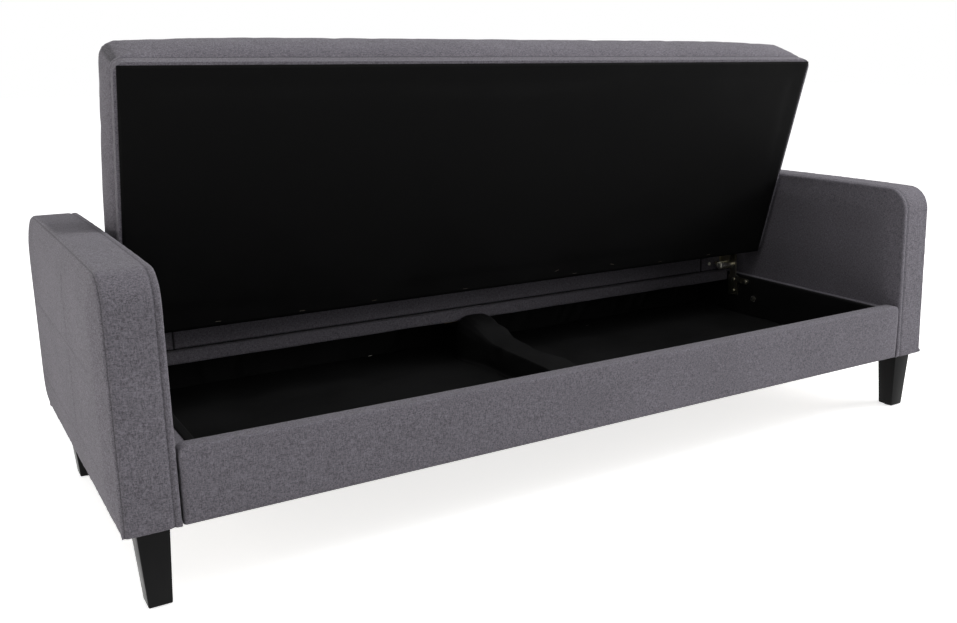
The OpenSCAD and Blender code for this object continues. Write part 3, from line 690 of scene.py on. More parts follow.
@dataclass(frozen=True)
class Spunbond(Finish):
    """Thin non-woven lining cloth, pressed with a fine pattern of dots."""

    dots: float = 360.0
    turn: float = 0.0
    gloss: float = 0.06

    def make(self) -> bpy.types.Material:
        """Makes the material.

        Returns:
            The finished material.
        """
        material, tree, shader = self.start()
        place = tree.add("ShaderNodeTexCoord").outputs["Object"]
        point = tree.add("ShaderNodeMapping", {
            "Vector": place, "Rotation": (math.radians(self.turn), 0.0, 0.0)}).outputs[0]
        dots = tree.add("ShaderNodeTexVoronoi", {"Vector": point, "Scale": self.dots, "Randomness": 0.25})
        fibres = tree.noise(point, 900.0, 2.0)
        cloudy = tree.noise(point, 7.0, 3.0)
        body = tree.mix_color(tree.ranged(cloudy, 0.3, 0.7, 0.0, 1.0), shaded(self.color, 0.8),
                              shaded(self.color, 1.35))
        tree.tree.links.new(body, shader.inputs["Base Color"])
        height = tree.math("MULTIPLY_ADD", fibres, 0.5, tree.ranged(dots.outputs["Distance"], 0.0, 0.5, 0.0, 1.0))
        bump = tree.add("ShaderNodeBump", {"Height": height, "Strength": 0.25, "Distance": 0.0003})
        tree.tree.links.new(bump.outputs[0], shader.inputs["Normal"])
        rough = tree.ranged(cloudy, 0.3, 0.7, 0.62, 0.78)
        tree.tree.links.new(rough, shader.inputs["Roughness"])
        shader.inputs["Specular IOR Level"].default_value = self.gloss
        return material


@dataclass(frozen=True)
class Wood(Finish):
    """Bare or painted wood with its grain along one axis."""

    along: int = 0
    roughness: float = 0.6
    contrast: float = 0.3
    bump: float = 0.3
    gloss: float = 0.4

    def make(self) -> bpy.types.Material:
        """Makes the material.

        Returns:
            The finished material.
        """
        material, tree, shader = self.start()
        place = tree.add("ShaderNodeTexCoord").outputs["Object"]
        stretch = [9.0, 9.0, 9.0]
        stretch[self.along] = 0.7
        point = tree.add("ShaderNodeMapping", {"Vector": place, "Scale": tuple(stretch)}).outputs[0]
        grain = tree.add("ShaderNodeGroup", node_tree=Groups.grain)
        tree.tree.links.new(point, grain.inputs["Point"])
        grain.inputs["Scale"].default_value = 1.4
        body = tree.mix_color(grain.outputs["Grain"], shaded(self.color, 1 - self.contrast),
                              shaded(self.color, 1 + self.contrast))
        tree.tree.links.new(body, shader.inputs["Base Color"])
        bump = tree.add("ShaderNodeBump", {"Height": grain.outputs["Grain"], "Strength": self.bump,
                                           "Distance": 0.0004})
        tree.tree.links.new(bump.outputs[0], shader.inputs["Normal"])
        rough = tree.ranged(tree.noise(place, 30.0), 0.3, 0.7, self.roughness - 0.05, self.roughness + 0.05)
        tree.tree.links.new(rough, shader.inputs["Roughness"])
        shader.inputs["Specular IOR Level"].default_value = self.gloss
        return material


@dataclass(frozen=True)
class Plated(Finish):
    """Steel with pale yellow zinc plating, a little stained."""

    roughness: float = 0.24

    def make(self) -> bpy.types.Material:
        """Makes the material.

        Returns:
            The finished material.
        """
        material, tree, shader = self.start()
        place = tree.add("ShaderNodeTexCoord").outputs["Object"]
        stain = tree.noise(place, 38.0, 3.0)
        body = tree.mix_color(tree.ranged(stain, 0.35, 0.65, 0.0, 1.0), self.color,
                              (self.color[0] * 0.94, self.color[1] * 0.90, self.color[2] * 0.76, 1.0))
        tree.tree.links.new(body, shader.inputs["Base Color"])
        scuffs = tree.noise(place, 420.0, 2.0)
        rough = tree.ranged(scuffs, 0.3, 0.7, self.roughness - 0.06, self.roughness + 0.1)
        tree.tree.links.new(rough, shader.inputs["Roughness"])
        bump = tree.add("ShaderNodeBump", {"Height": scuffs, "Strength": 0.12, "Distance": 0.0002})
        tree.tree.links.new(bump.outputs[0], shader.inputs["Normal"])
        shader.inputs["Metallic"].default_value = 1.0
        return material


@dataclass(frozen=True)
class Plastic(Finish):
    """Moulded plastic with a fine skin."""

    roughness: float = 0.5

    def make(self) -> bpy.types.Material:
        """Makes the material.

        Returns:
            The finished material.
        """
        material, tree, shader = self.start()
        place = tree.add("ShaderNodeTexCoord").outputs["Object"]
        skin = tree.noise(place, 700.0, 2.0)
        body = tree.mix_color(skin, shaded(self.color, 0.85), shaded(self.color, 1.15))
        tree.tree.links.new(body, shader.inputs["Base Color"])
        bump = tree.add("ShaderNodeBump", {"Height": skin, "Strength": 0.2, "Distance": 0.0002})
        tree.tree.links.new(bump.outputs[0], shader.inputs["Normal"])
        rough = tree.ranged(skin, 0.3, 0.7, self.roughness - 0.06, self.roughness + 0.06)
        tree.tree.links.new(rough, shader.inputs["Roughness"])
        return material


GREY = (0.178, 0.167, 0.191, 1.0)
BLACK_CLOTH = (0.0032, 0.0032, 0.0033, 1.0)
PINE = (0.50, 0.37, 0.21, 1.0)
FIBREBOARD = (0.20, 0.155, 0.11, 1.0)
BLACK_PAINT = (0.0045, 0.0045, 0.0048, 1.0)
# Painted shade: the plates' zinc is darkened well below real plating, standing for the dark surroundings that it
# reflects.
YELLOW_ZINC_PAINTED_DARK = (0.28, 0.27, 0.23, 1.0)
BRIGHT_ZINC = (0.86, 0.85, 0.80, 1.0)
STEEL = (0.55, 0.55, 0.56, 1.0)
# Painted shade: the seat staples' steel is darkened far below real galvanised steel, standing for the dark
# surroundings it reflects.
STEEL_PAINTED_DARK = (0.11, 0.10, 0.09, 1.0)
BOX_CLOTH = (0.0032, 0.0032, 0.0033, 1.0)
BLACK_NYLON = (0.03, 0.03, 0.03, 1.0)


class Wardrobe:
    """Every finish of the sofa, each made once."""

    def __init__(self) -> None:
        """Makes the materials."""
        self.cloth = Woven("grey_cloth", GREY).make()
        self.cloth_raised = Woven("grey_cloth_raised", GREY, turn=LIFT_DEGREES).make()
        self.lining = Spunbond("black_lining", BLACK_CLOTH).make()
        self.lining_raised = Spunbond("black_lining_raised", BLACK_CLOTH, turn=LIFT_DEGREES).make()
        self.pine = [Wood(f"pine_along_{word}", PINE, along=axis).make()
                     for axis, word in enumerate("xyz")]
        self.board = Wood("brown_fibreboard", FIBREBOARD, along=0, roughness=0.7, contrast=0.12,
                          bump=0.15).make()
        self.paint = Wood("black_paint", BLACK_PAINT, along=2, roughness=0.34, contrast=0.2,
                          bump=0.12, gloss=0.10).make()
        self.box_lining = Spunbond("black_box_lining", BOX_CLOTH, gloss=0.11).make()
        # The plates' zinc is darkened as painted shade of dark reflections.
        self.zinc = Plated("yellow_zinc_painted_dark", YELLOW_ZINC_PAINTED_DARK, roughness=0.35).make()
        self.bright_zinc = Plated("bright_zinc", BRIGHT_ZINC, roughness=0.28).make()
        self.steel = Plated("staple_steel", STEEL, roughness=0.30).make()
        self.dark_painted_steel = Plated("dark_painted_steel", STEEL_PAINTED_DARK, roughness=0.55).make()
        self.nylon = Plastic("black_nylon", BLACK_NYLON).make()

    def for_node(self, node: str, slot: str) -> bpy.types.Material:
        """Chooses a CAD node's material.

        Args:
            node: The node's name.
            slot: The record's material slot for it.

        Returns:
            The material.
        """
        if node == "floor_panel":
            return self.board
        if slot == "zinc_steel" and node.endswith(("screws", "bolts", "nuts", "sleeves", "pins")):
            return self.bright_zinc
        low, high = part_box(node)
        longest = max(range(3), key=lambda axis: high[axis] - low[axis])
        return {"grey_fabric": self.cloth, "black_lining": self.lining, "timber": self.pine[longest],
                "black_wood": self.paint, "zinc_steel": self.zinc, "nylon": self.nylon}[slot]

    def dress_frame(self) -> None:
        """Gives every CAD node its material."""
        for part in frame["record"]["subparts"]:
            materials = frame["nodes"][part["node"]].data.materials
            materials.clear()
            materials.append(self.for_node(part["node"], part["material_slot"]))


def finish_piece(obj: bpy.types.Object, material: bpy.types.Material, body: str,
                 nodes: Sequence[str]) -> bpy.types.Object:
    """Gives a piece its material and body, shades it smooth and hides the CAD nodes that it stands for.

    Args:
        obj: The piece.
        material: Its material.
        body: The CAD body that it rides on.
        nodes: The CAD nodes that it replaces.

    Returns:
        The piece.
    """
    obj.data.materials.clear()
    obj.data.materials.append(material)
    smooth(obj)
    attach(obj, body)
    if nodes:
        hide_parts(*nodes)
    LOG.info("%s: %d faces on %s", obj.name, len(obj.data.polygons), body)
    return obj


# Sub-assemblies


@dataclass
class Arms:
    """The two padded arms."""

    front_radius: float = 0.058
    rear_radius: float = 0.046
    foot_radius: float = 0.004
    foot_drop: float = 0.003
    edge_reach: float = 0.014
    outer_seam: float = 0.0015
    inner_seam: float = 0.013
    crown: float = 0.005
    outer_bulge: float = 0.009
    # Heights and depth where the frame's members show through the outer panel
    rail_marks: tuple = (0.425, 0.250)
    post_mark: float = 0.318

    def build(self, wardrobe: Wardrobe) -> None:
        """Builds the left arm and mirrors it to the right.

        Args:
            wardrobe: The finishes.
        """
        left = self.padded_slab()
        right = left.copy()
        right.data = left.data.copy()
        right.name = right.data.name = "right_arm_pad"
        bpy.context.scene.collection.objects.link(right)
        right.data.transform(Matrix.Scale(-1, 4, (1, 0, 0)))
        right.data.flip_normals()
        for obj, side in ((left, Side.LEFT), (right, Side.RIGHT)):
            finish_piece(obj, wardrobe.cloth, "base", [f"{side.word}_arm"])

    def padded_slab(self) -> bpy.types.Object:
        """Builds the left arm's rounded slab, stuffs it and sews its two seams.

        Returns:
            The left arm.
        """
        low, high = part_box("left_arm")
        low.z -= self.foot_drop
        obj = add_block("left_arm_pad", low, high)
        corners = ((low.y, high.z, self.front_radius, 9), (high.y, high.z, self.rear_radius, 8),
                   (low.y, low.z, self.foot_radius, 2), (high.y, low.z, self.foot_radius, 2))
        for y, z, radius, segments in corners:
            bevel_edges(obj, lambda a, b: self.at(a, y, z) and self.at(b, y, z), radius, segments)
        for x in (low.x, high.x):
            bevel_edges(obj, lambda a, b: abs(a.x - x) < 1e-5 and abs(b.x - x) < 1e-5, 0.003, 2)
        seams = (low.x + self.outer_seam, high.x - self.inner_seam)
        panels = Stuffing(voxel=0.007, pressure=3.5, cap=0.006, spare=0.002)
        panels.fill(obj, lambda points: self.held(points, low, high))
        self.shape_rim(obj, low, high)
        for number, seam_x in enumerate(seams):
            Seam(lambda points: self.seam_distance(points, seam_x, low, high), depth=0.0016,
                 half_width=0.0034, pucker=0.0004, seed=11 + number).sew(obj)
        # The frame's pressed lines also get a faint painted shade in the cloth's colour.
        Seam(lambda points: self.mark_distance(points, low, high), depth=0.0012, half_width=0.0050,
             pucker=0.0, painted_shade=0.35).sew(obj)
        return obj

    def mark_distance(self, points: Points, low: Vector, high: Vector) -> Points:
        """Distance to the faint lines that the arm's frame presses into its outer panel.

        Args:
            points: Where it is wanted.
            low: The arm's lowest corner.
            high: The arm's highest corner.

        Returns:
            The distance of each point.
        """
        y, z = points[:, 1], points[:, 2]
        beyond = np.maximum(np.maximum(low.y + 0.10 - y, y - high.y + 0.10), 0)
        rails = [np.hypot(z - height, beyond) for height in self.rail_marks]
        ends = np.maximum(np.maximum(self.rail_marks[1] - z, z - high.z + 0.05), 0)
        post = np.hypot(y - FRONT_Y - self.post_mark, ends)
        near = np.minimum(np.minimum(*rails), post)
        return np.hypot(near, np.maximum(points[:, 0] - low.x - 0.004, 0))

    @staticmethod
    def at(point: Vector, y: float, z: float) -> bool:
        """Whether a point lies on a line along X."""
        return abs(point.y - y) < 1e-5 and abs(point.z - z) < 1e-5

    def rim(self, points: Points, low: Vector, high: Vector) -> tuple:
        """How far points lie inside the arm's rim, and which way is out of it."""
        radii = ((self.foot_radius, self.front_radius), (self.foot_radius, self.rear_radius))
        return rounded_outline(points[:, 1:], (low.y, low.z), (high.y, high.z), radii)

    def held(self, points: Points, low: Vector, high: Vector) -> Points:
        """Holds the boxing strip round the rim, and the underside.

        Args:
            points: The slab's points.
            low: The arm's lowest corner.
            high: The arm's highest corner.

        Returns:
            Each point's hold.
        """
        inside, _ = self.rim(points, low, high)
        return np.where((inside < 0.018) | (points[:, 2] < low.z + 0.02), 1.0, 0.0)

    def shape_rim(self, obj: bpy.types.Object, low: Vector, high: Vector) -> None:
        """Makes the rim's edges crisp and crowns its top.

        Args:
            obj: The arm.
            low: The arm's lowest corner.
            high: The arm's highest corner.
        """
        points = read_points(obj)
        inside, way = self.rim(points, low, high)
        for depth, sign in ((points[:, 0] - low.x, -1), (high.x - points[:, 0], 1)):
            out_rim, out_face = square_up(inside, depth, self.edge_reach, 5.0)
            points[:, 1:] += way * out_rim[:, None]
            points[:, 0] += sign * out_face
        for depth, sign in ((points[:, 1] - low.y, -1), (high.y - points[:, 1], 1)):
            out_end, out_foot = square_up(depth, points[:, 2] - low.z, self.edge_reach, 3.2)
            points[:, 1] += sign * out_end
            points[:, 2] -= out_foot
        foot = points[:, 2] < low.z + 0.022
        points[foot, :2] = np.clip(points[foot, :2], (low.x, low.y), (high.x, high.y))
        points[:, 2] = np.maximum(points[:, 2], low.z)
        swell = (1 - np.exp(-np.maximum(inside, 0) / 0.03)) * (1 - smooth_step(points[:, 0], low.x + 0.004, low.x + 0.04))
        points[:, 0] -= self.outer_bulge * swell
        run = np.clip((points[:, 1] - low.y - 0.03) / (high.y - low.y - 0.06), 0, 1)
        across = np.clip((points[:, 0] - low.x) / (high.x - low.x), 0, 1)
        top = smooth_step(points[:, 2], high.z - 0.07, high.z - 0.005)
        points[:, 2] += self.crown * top * np.sin(np.pi * run) ** 0.6 * (1 - 0.5 * (2 * across - 1) ** 4)
        write_points(obj, points)

    def seam_distance(self, points: Points, seam_x: float, low: Vector, high: Vector) -> Points:
        """Distance to a seam that runs round the arm's rim.

        Args:
            points: Where it is wanted.
            seam_x: The seam's X.
            low: The arm's lowest corner.
            high: The arm's highest corner.

        Returns:
            The distance of each point.
        """
        inside, _ = self.rim(points, low, high)
        return np.hypot(points[:, 0] - seam_x, np.maximum(inside - 0.004, 0))


@dataclass
class Cushion:
    """A boxed cushion on its wooden frame, shaped as it lies flat."""

    name: str
    low: Vector
    high: Vector
    crown: float
    crown_reach: float
    front_bulge: float
    side_bulge: float = 0.007
    rear_bulge: float = 0.0
    edge_radius: float = 0.020
    heel_radius: float = 0.0
    corner_radius: float = 0.024
    seam_height: float = 0.012
    foot_spare: float = 0.012
    foot_drop: float = 0.0005
    tight_height: float = 0.012
    slit_x: float = 0.0
    lap_end: float = 0.852
    lap: float = 0.0016
    slack: float = 0.001
    stuffing: Stuffing = Stuffing(voxel=0.009, pressure=4.0, cap=0.010)
    seed: int = 3

    def build(self) -> bpy.types.Object:
        """Builds the cushion, stuffs it and sews it.

        Returns:
            The cushion, lying flat.
        """
        inset = Vector((self.slack, self.slack, 0))
        low, high = self.low + inset, self.high - inset
        high.z -= self.crown
        obj = add_block(self.name, low - Vector((0, 0, self.foot_spare)), high)
        if self.heel_radius:
            bevel_edges(obj, lambda a, b: self.top_front(a, low, high) and self.top_front(b, low, high),
                        self.heel_radius, 10)
        bevel_edges(obj, lambda a, b: abs(a.x - b.x) < 1e-6 and abs(a.y - b.y) < 1e-6,
                    self.corner_radius, 5)
        bevel_edges(obj, lambda a, b: min(a.z, b.z) > high.z - 1e-5, self.edge_radius, 4)
        obj.data.remesh_voxel_size = self.stuffing.voxel
        select_only(obj)
        bpy.ops.object.voxel_remesh()
        self.raise_crown(obj, low, high)
        self.bulge_sides(obj, low, high)
        self.stuffing.fill(obj, lambda points: self.held(points, low, high))
        self.draw_foot(obj, low, high)
        if self.slit_x:
            self.set_back_ends(obj, low)
        for number, away in enumerate(self.seams(low, high)):
            Seam(away, depth=0.0020, half_width=0.0050, seed=self.seed + number).sew(obj)
        return obj

    @staticmethod
    def top_front(point: Vector, low: Vector, high: Vector) -> bool:
        """Whether a point lies on the upper front edge."""
        return abs(point.y - low.y) < 1e-5 and abs(point.z - high.z) < 1e-5

    def outline(self, points: Points, low: Vector, high: Vector) -> tuple:
        """How far points lie inside the outline seen from above, and which way is out of it."""
        radius = self.corner_radius
        return rounded_outline(points[:, :2], (low.x, low.y), (high.x, high.y),
                               ((radius, radius), (radius, radius)))

    def raise_crown(self, obj: bpy.types.Object, low: Vector, high: Vector) -> None:
        """Lifts the upper face to its crown.

        Args:
            obj: The cushion.
            low: Its lowest corner.
            high: Its highest corner, at the edge.
        """
        points = read_points(obj)
        inside, _ = self.outline(points, low, high)
        share = np.clip((inside - self.edge_radius) / (self.crown_reach - self.edge_radius), 0, 1)
        lift = self.crown * (1 - (1 - share) ** 2)
        points[:, 2] += lift * smooth_step(points[:, 2], low.z + 0.03, high.z)
        write_points(obj, points)

    def bulge_sides(self, obj: bpy.types.Object, low: Vector, high: Vector) -> None:
        """Swells the boxing between its seams and its corners.

        Args:
            obj: The cushion.
            low: Its lowest corner.
            high: Its highest corner, at the edge.
        """
        points = read_points(obj)
        inside, way = self.outline(points, low, high)
        size = np.where(np.abs(way[:, 0]) > np.abs(way[:, 1]), self.side_bulge,
                        np.where(way[:, 1] < 0, self.front_bulge, self.rear_bulge))
        across = np.where(np.abs(way[:, 0]) > np.abs(way[:, 1]),
                          np.minimum(points[:, 1] - low.y, high.y - points[:, 1]),
                          np.minimum(points[:, 0] - low.x, high.x - points[:, 0]))
        along = 1 - (1 - np.clip(across / 0.45, 0, 1)) ** 3
        height = np.clip((points[:, 2] - low.z - self.seam_height) / (high.z - low.z - self.seam_height), 0, 1.1)
        swell = np.sin(np.pi * np.clip(height, 0, 1) ** 0.8) ** 0.7 + 0.25 * smooth_step(height, 0.5, 1.0)
        near = np.exp(-(np.maximum(inside, 0) / 0.035) ** 2)
        points[:, :2] += way * (size * along * swell * near)[:, None]
        write_points(obj, points)

    def draw_foot(self, obj: bpy.types.Object, low: Vector, high: Vector) -> None:
        """Draws the cloth tight round the frame, and cuts the cushion level at its foot.

        Args:
            obj: The cushion.
            low: Its lowest corner.
            high: Its highest corner, at the edge.
        """
        points = read_points(obj)
        inside, way = self.outline(points, low, high)
        tight = 1 - smooth_step(points[:, 2], low.z + self.tight_height, low.z + self.tight_height + 0.04)
        drawn = np.where(np.abs(inside) < 0.016, inside * tight, 0)
        points[:, :2] += way * drawn[:, None]
        if not self.rear_bulge:
            points[:, 1] = np.minimum(points[:, 1], high.y)
        write_points(obj, points)
        select_only(obj)
        bpy.ops.object.mode_set(mode="EDIT")
        bpy.ops.mesh.select_all(action="SELECT")
        bpy.ops.mesh.bisect(plane_co=(0, 0, low.z - self.foot_drop), plane_no=(0, 0, 1), clear_inner=True)
        bpy.ops.mesh.select_mode(type="EDGE")
        bpy.ops.mesh.select_all(action="DESELECT")
        bpy.ops.mesh.select_non_manifold(extend=False, use_wire=False, use_boundary=True,
                                         use_multi_face=False, use_non_contiguous=False, use_verts=False)
        bpy.ops.mesh.edge_face_add()
        bpy.ops.mesh.select_all(action="SELECT")
        bpy.ops.mesh.normals_make_consistent(inside=False)
        bpy.ops.object.mode_set(mode="OBJECT")

    def set_back_ends(self, obj: bpy.types.Object, low: Vector) -> None:
        """Slits the cloth of the lower front face beside the hinges, and laps it over their flanges. Paints
        near-black shade into the slits and along the cushion's foot.

        Args:
            obj: The cushion.
            low: Its lowest corner.
        """
        def at_slit(points: Points) -> Points:
            off_face = np.maximum(points[:, 1] - low.y - 0.03, 0) + np.maximum(points[:, 2] - low.z - 0.09, 0)
            return np.hypot(np.abs(points[:, 0]) - self.slit_x, off_face)

        subdivide_near(obj, lambda points: at_slit(points) < 0.012, cuts=2)
        points = read_points(obj)
        face = np.exp(-(np.maximum(points[:, 1] - low.y, 0) / 0.02) ** 2)
        face *= 1 - smooth_step(points[:, 2], low.z + 0.05, low.z + 0.1)
        side = np.abs(points[:, 0])
        lap = smooth_step(side, self.slit_x - 0.001, self.slit_x + 0.004)
        lap *= 1 - smooth_step(side, self.lap_end, self.lap_end + 0.006)
        slit = np.exp(-(at_slit(points) / 0.0024) ** 2)
        points[:, 1] += (0.0022 * slit - self.lap * lap) * face
        write_points(obj, points)
        # Painted shade: the slit's opening is darkened nearly to black, and so is a thin band at the cushion's
        # foot, which is painted contact shade and also stands for the black lining's edge there.
        hem = 1 - smooth_step(points[:, 2], low.z + 0.0006, low.z + 0.0030)
        paint_seam_shade(obj, 1.9 * np.maximum(slit, hem) * face)

    def held(self, points: Points, low: Vector, high: Vector) -> Points:
        """Holds the underside on its frame, and the seams.

        Args:
            points: The cushion's points.
            low: Its lowest corner.
            high: Its highest corner, at the edge.

        Returns:
            Each point's hold.
        """
        hold = np.where(points[:, 2] < low.z + self.seam_height + 0.006, 1.0, 0.0)
        for away in self.seams(low, high):
            hold = np.maximum(hold, np.where(away(points) < 0.007, 0.9, 0.0))
        return hold

    def seams(self, low: Vector, high: Vector) -> list:
        """The seams' distance functions.

        Args:
            low: The cushion's lowest corner.
            high: Its highest corner, at the edge.

        Returns:
            One function for each seam.
        """
        low_ring = low.z + self.seam_height
        high_ring = high.z - 0.004

        def ring(points: Points, height: float, depth: float) -> Points:
            inside, _ = self.outline(points, low, high)
            return np.hypot(points[:, 2] - height, np.maximum(np.abs(inside) - depth, 0))

        def corners(points: Points) -> Points:
            best = np.full(len(points), 1.0)
            out = 0.3 * self.corner_radius
            for x in (low.x + out, high.x - out):
                for y in (low.y + out, high.y - out):
                    if self.heel_radius and y < 0.5 * (low.y + high.y):
                        continue
                    away = np.abs(points[:, 0] - x) - np.abs(points[:, 1] - y)
                    far = np.maximum(np.hypot(points[:, 0] - x, points[:, 1] - y) - 0.03, 0)
                    off = np.maximum(low_ring + 0.012 - points[:, 2], 0) + np.maximum(points[:, 2] - high_ring, 0)
                    best = np.minimum(best, np.sqrt(away ** 2 / 2 + far ** 2 + off ** 2))
            return best

        if self.heel_radius:
            return [corners]
        return [lambda points: ring(points, low_ring, 0.014), corners,
                lambda points: ring(points, high_ring, 0.02)]


@dataclass
class Seat:
    """The raised seat: its cushion and the lining under it."""

    half_width: float = 0.906
    front: float = -0.003
    depth: float = 0.602
    under: float = 0.2978
    thickness: float = 0.150
    crown: float = 0.024

    def build(self, wardrobe: Wardrobe) -> None:
        """Builds the seat flat and turns it up to its raised place.

        Args:
            wardrobe: The finishes.
        """
        low = Vector((-self.half_width, FRONT_Y + self.front, self.under))
        high = Vector((self.half_width, low.y + self.depth, self.under + self.thickness + self.crown))
        cushion = Cushion("seat_pad", low, high, self.crown, self.depth / 2 - 0.048,
                          front_bulge=0.016, seam_height=0.030).build()
        cushion.data.transform(CLOSED_TO_RAISED)
        finish_piece(cushion, wardrobe.cloth_raised, "seat", ["seat_cushion"])
        sheet_low = Vector((low.x + 0.007, low.y + 0.007, low.z))
        sheet_high = Vector((high.x - 0.007, high.y - 0.0015, low.z))
        lining = under_sheet("seat_dust_cloth", sheet_low, sheet_high, sag=0.002, seed=5)
        lining.data.transform(CLOSED_TO_RAISED)
        finish_piece(lining, wardrobe.lining_raised, "seat", ["seat_lining"])


@dataclass
class Backrest:
    """The backrest, which lies flat: its cushion and the lining under it."""

    crown: float = 0.020
    heel_radius: float = 0.075

    def build(self, wardrobe: Wardrobe) -> None:
        """Builds the backrest.

        Args:
            wardrobe: The finishes.
        """
        low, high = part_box("back_cushion")
        depth = high.y - low.y
        cushion = Cushion("back_pad", low, high, self.crown, depth / 2 - 0.048, front_bulge=0.0,
                          rear_bulge=0.008, heel_radius=self.heel_radius, slit_x=0.780,
                          tight_height=0.045, seed=23).build()
        finish_piece(cushion, wardrobe.cloth, "backrest", ["back_cushion"])
        sheet_low = Vector((low.x + 0.007, low.y + 0.002, low.z))
        sheet_high = Vector((high.x - 0.007, high.y - 0.007, low.z))
        lining = under_sheet("back_dust_cloth", sheet_low, sheet_high, sag=0.0002, seed=6)
        finish_piece(lining, wardrobe.lining, "backrest", ["back_lining"])


def under_sheet(name: str, low: Vector, high: Vector, sag: float, seed: int) -> bpy.types.Object:
    """Builds the lining cloth under a cushion, puckered where it is stapled.

    Args:
        name: The sheet's name.
        low: The sheet's lowest corner, at the cushion's underside.
        high: Its highest corner.
        sag: How far its middle hangs down.
        seed: Start of its random folds.

    Returns:
        The sheet, lying flat.
    """
    bpy.ops.object.select_all(action="DESELECT")
    width, depth = high.x - low.x, high.y - low.y
    middle = Vector(((low.x + high.x) / 2, (low.y + high.y) / 2, low.z - 0.0009))
    bpy.ops.mesh.primitive_grid_add(x_subdivisions=220, y_subdivisions=80, size=1, location=middle)
    obj = bpy.context.object
    obj.name = obj.data.name = name
    obj.scale = (width, depth, 1)
    bpy.ops.object.transform_apply(location=True, rotation=True, scale=True)
    points = read_points(obj)
    edge = np.minimum.reduce([points[:, 0] - points[:, 0].min(), points[:, 0].max() - points[:, 0],
                              points[:, 1] - points[:, 1].min(), points[:, 1].max() - points[:, 1]])
    puckers = ripple(points, 0.045, seed) * np.exp(-edge / 0.03) * smooth_step(edge, 0, 0.008) * 0.0012
    hang = (ripple(points, 0.35, seed + 1) * 0.8 + 1) * sag * smooth_step(edge, 0.0, 0.09)
    room = 0.0002 + 2.6 * sag * smooth_step(edge, 0.038, 0.1)
    points[:, 2] -= np.clip(hang + puckers * min(1, sag / 0.002), -0.0002, room)
    write_points(obj, points)
    apply_modifier(obj, "SOLIDIFY", thickness=0.0006, offset=-1)
    return obj


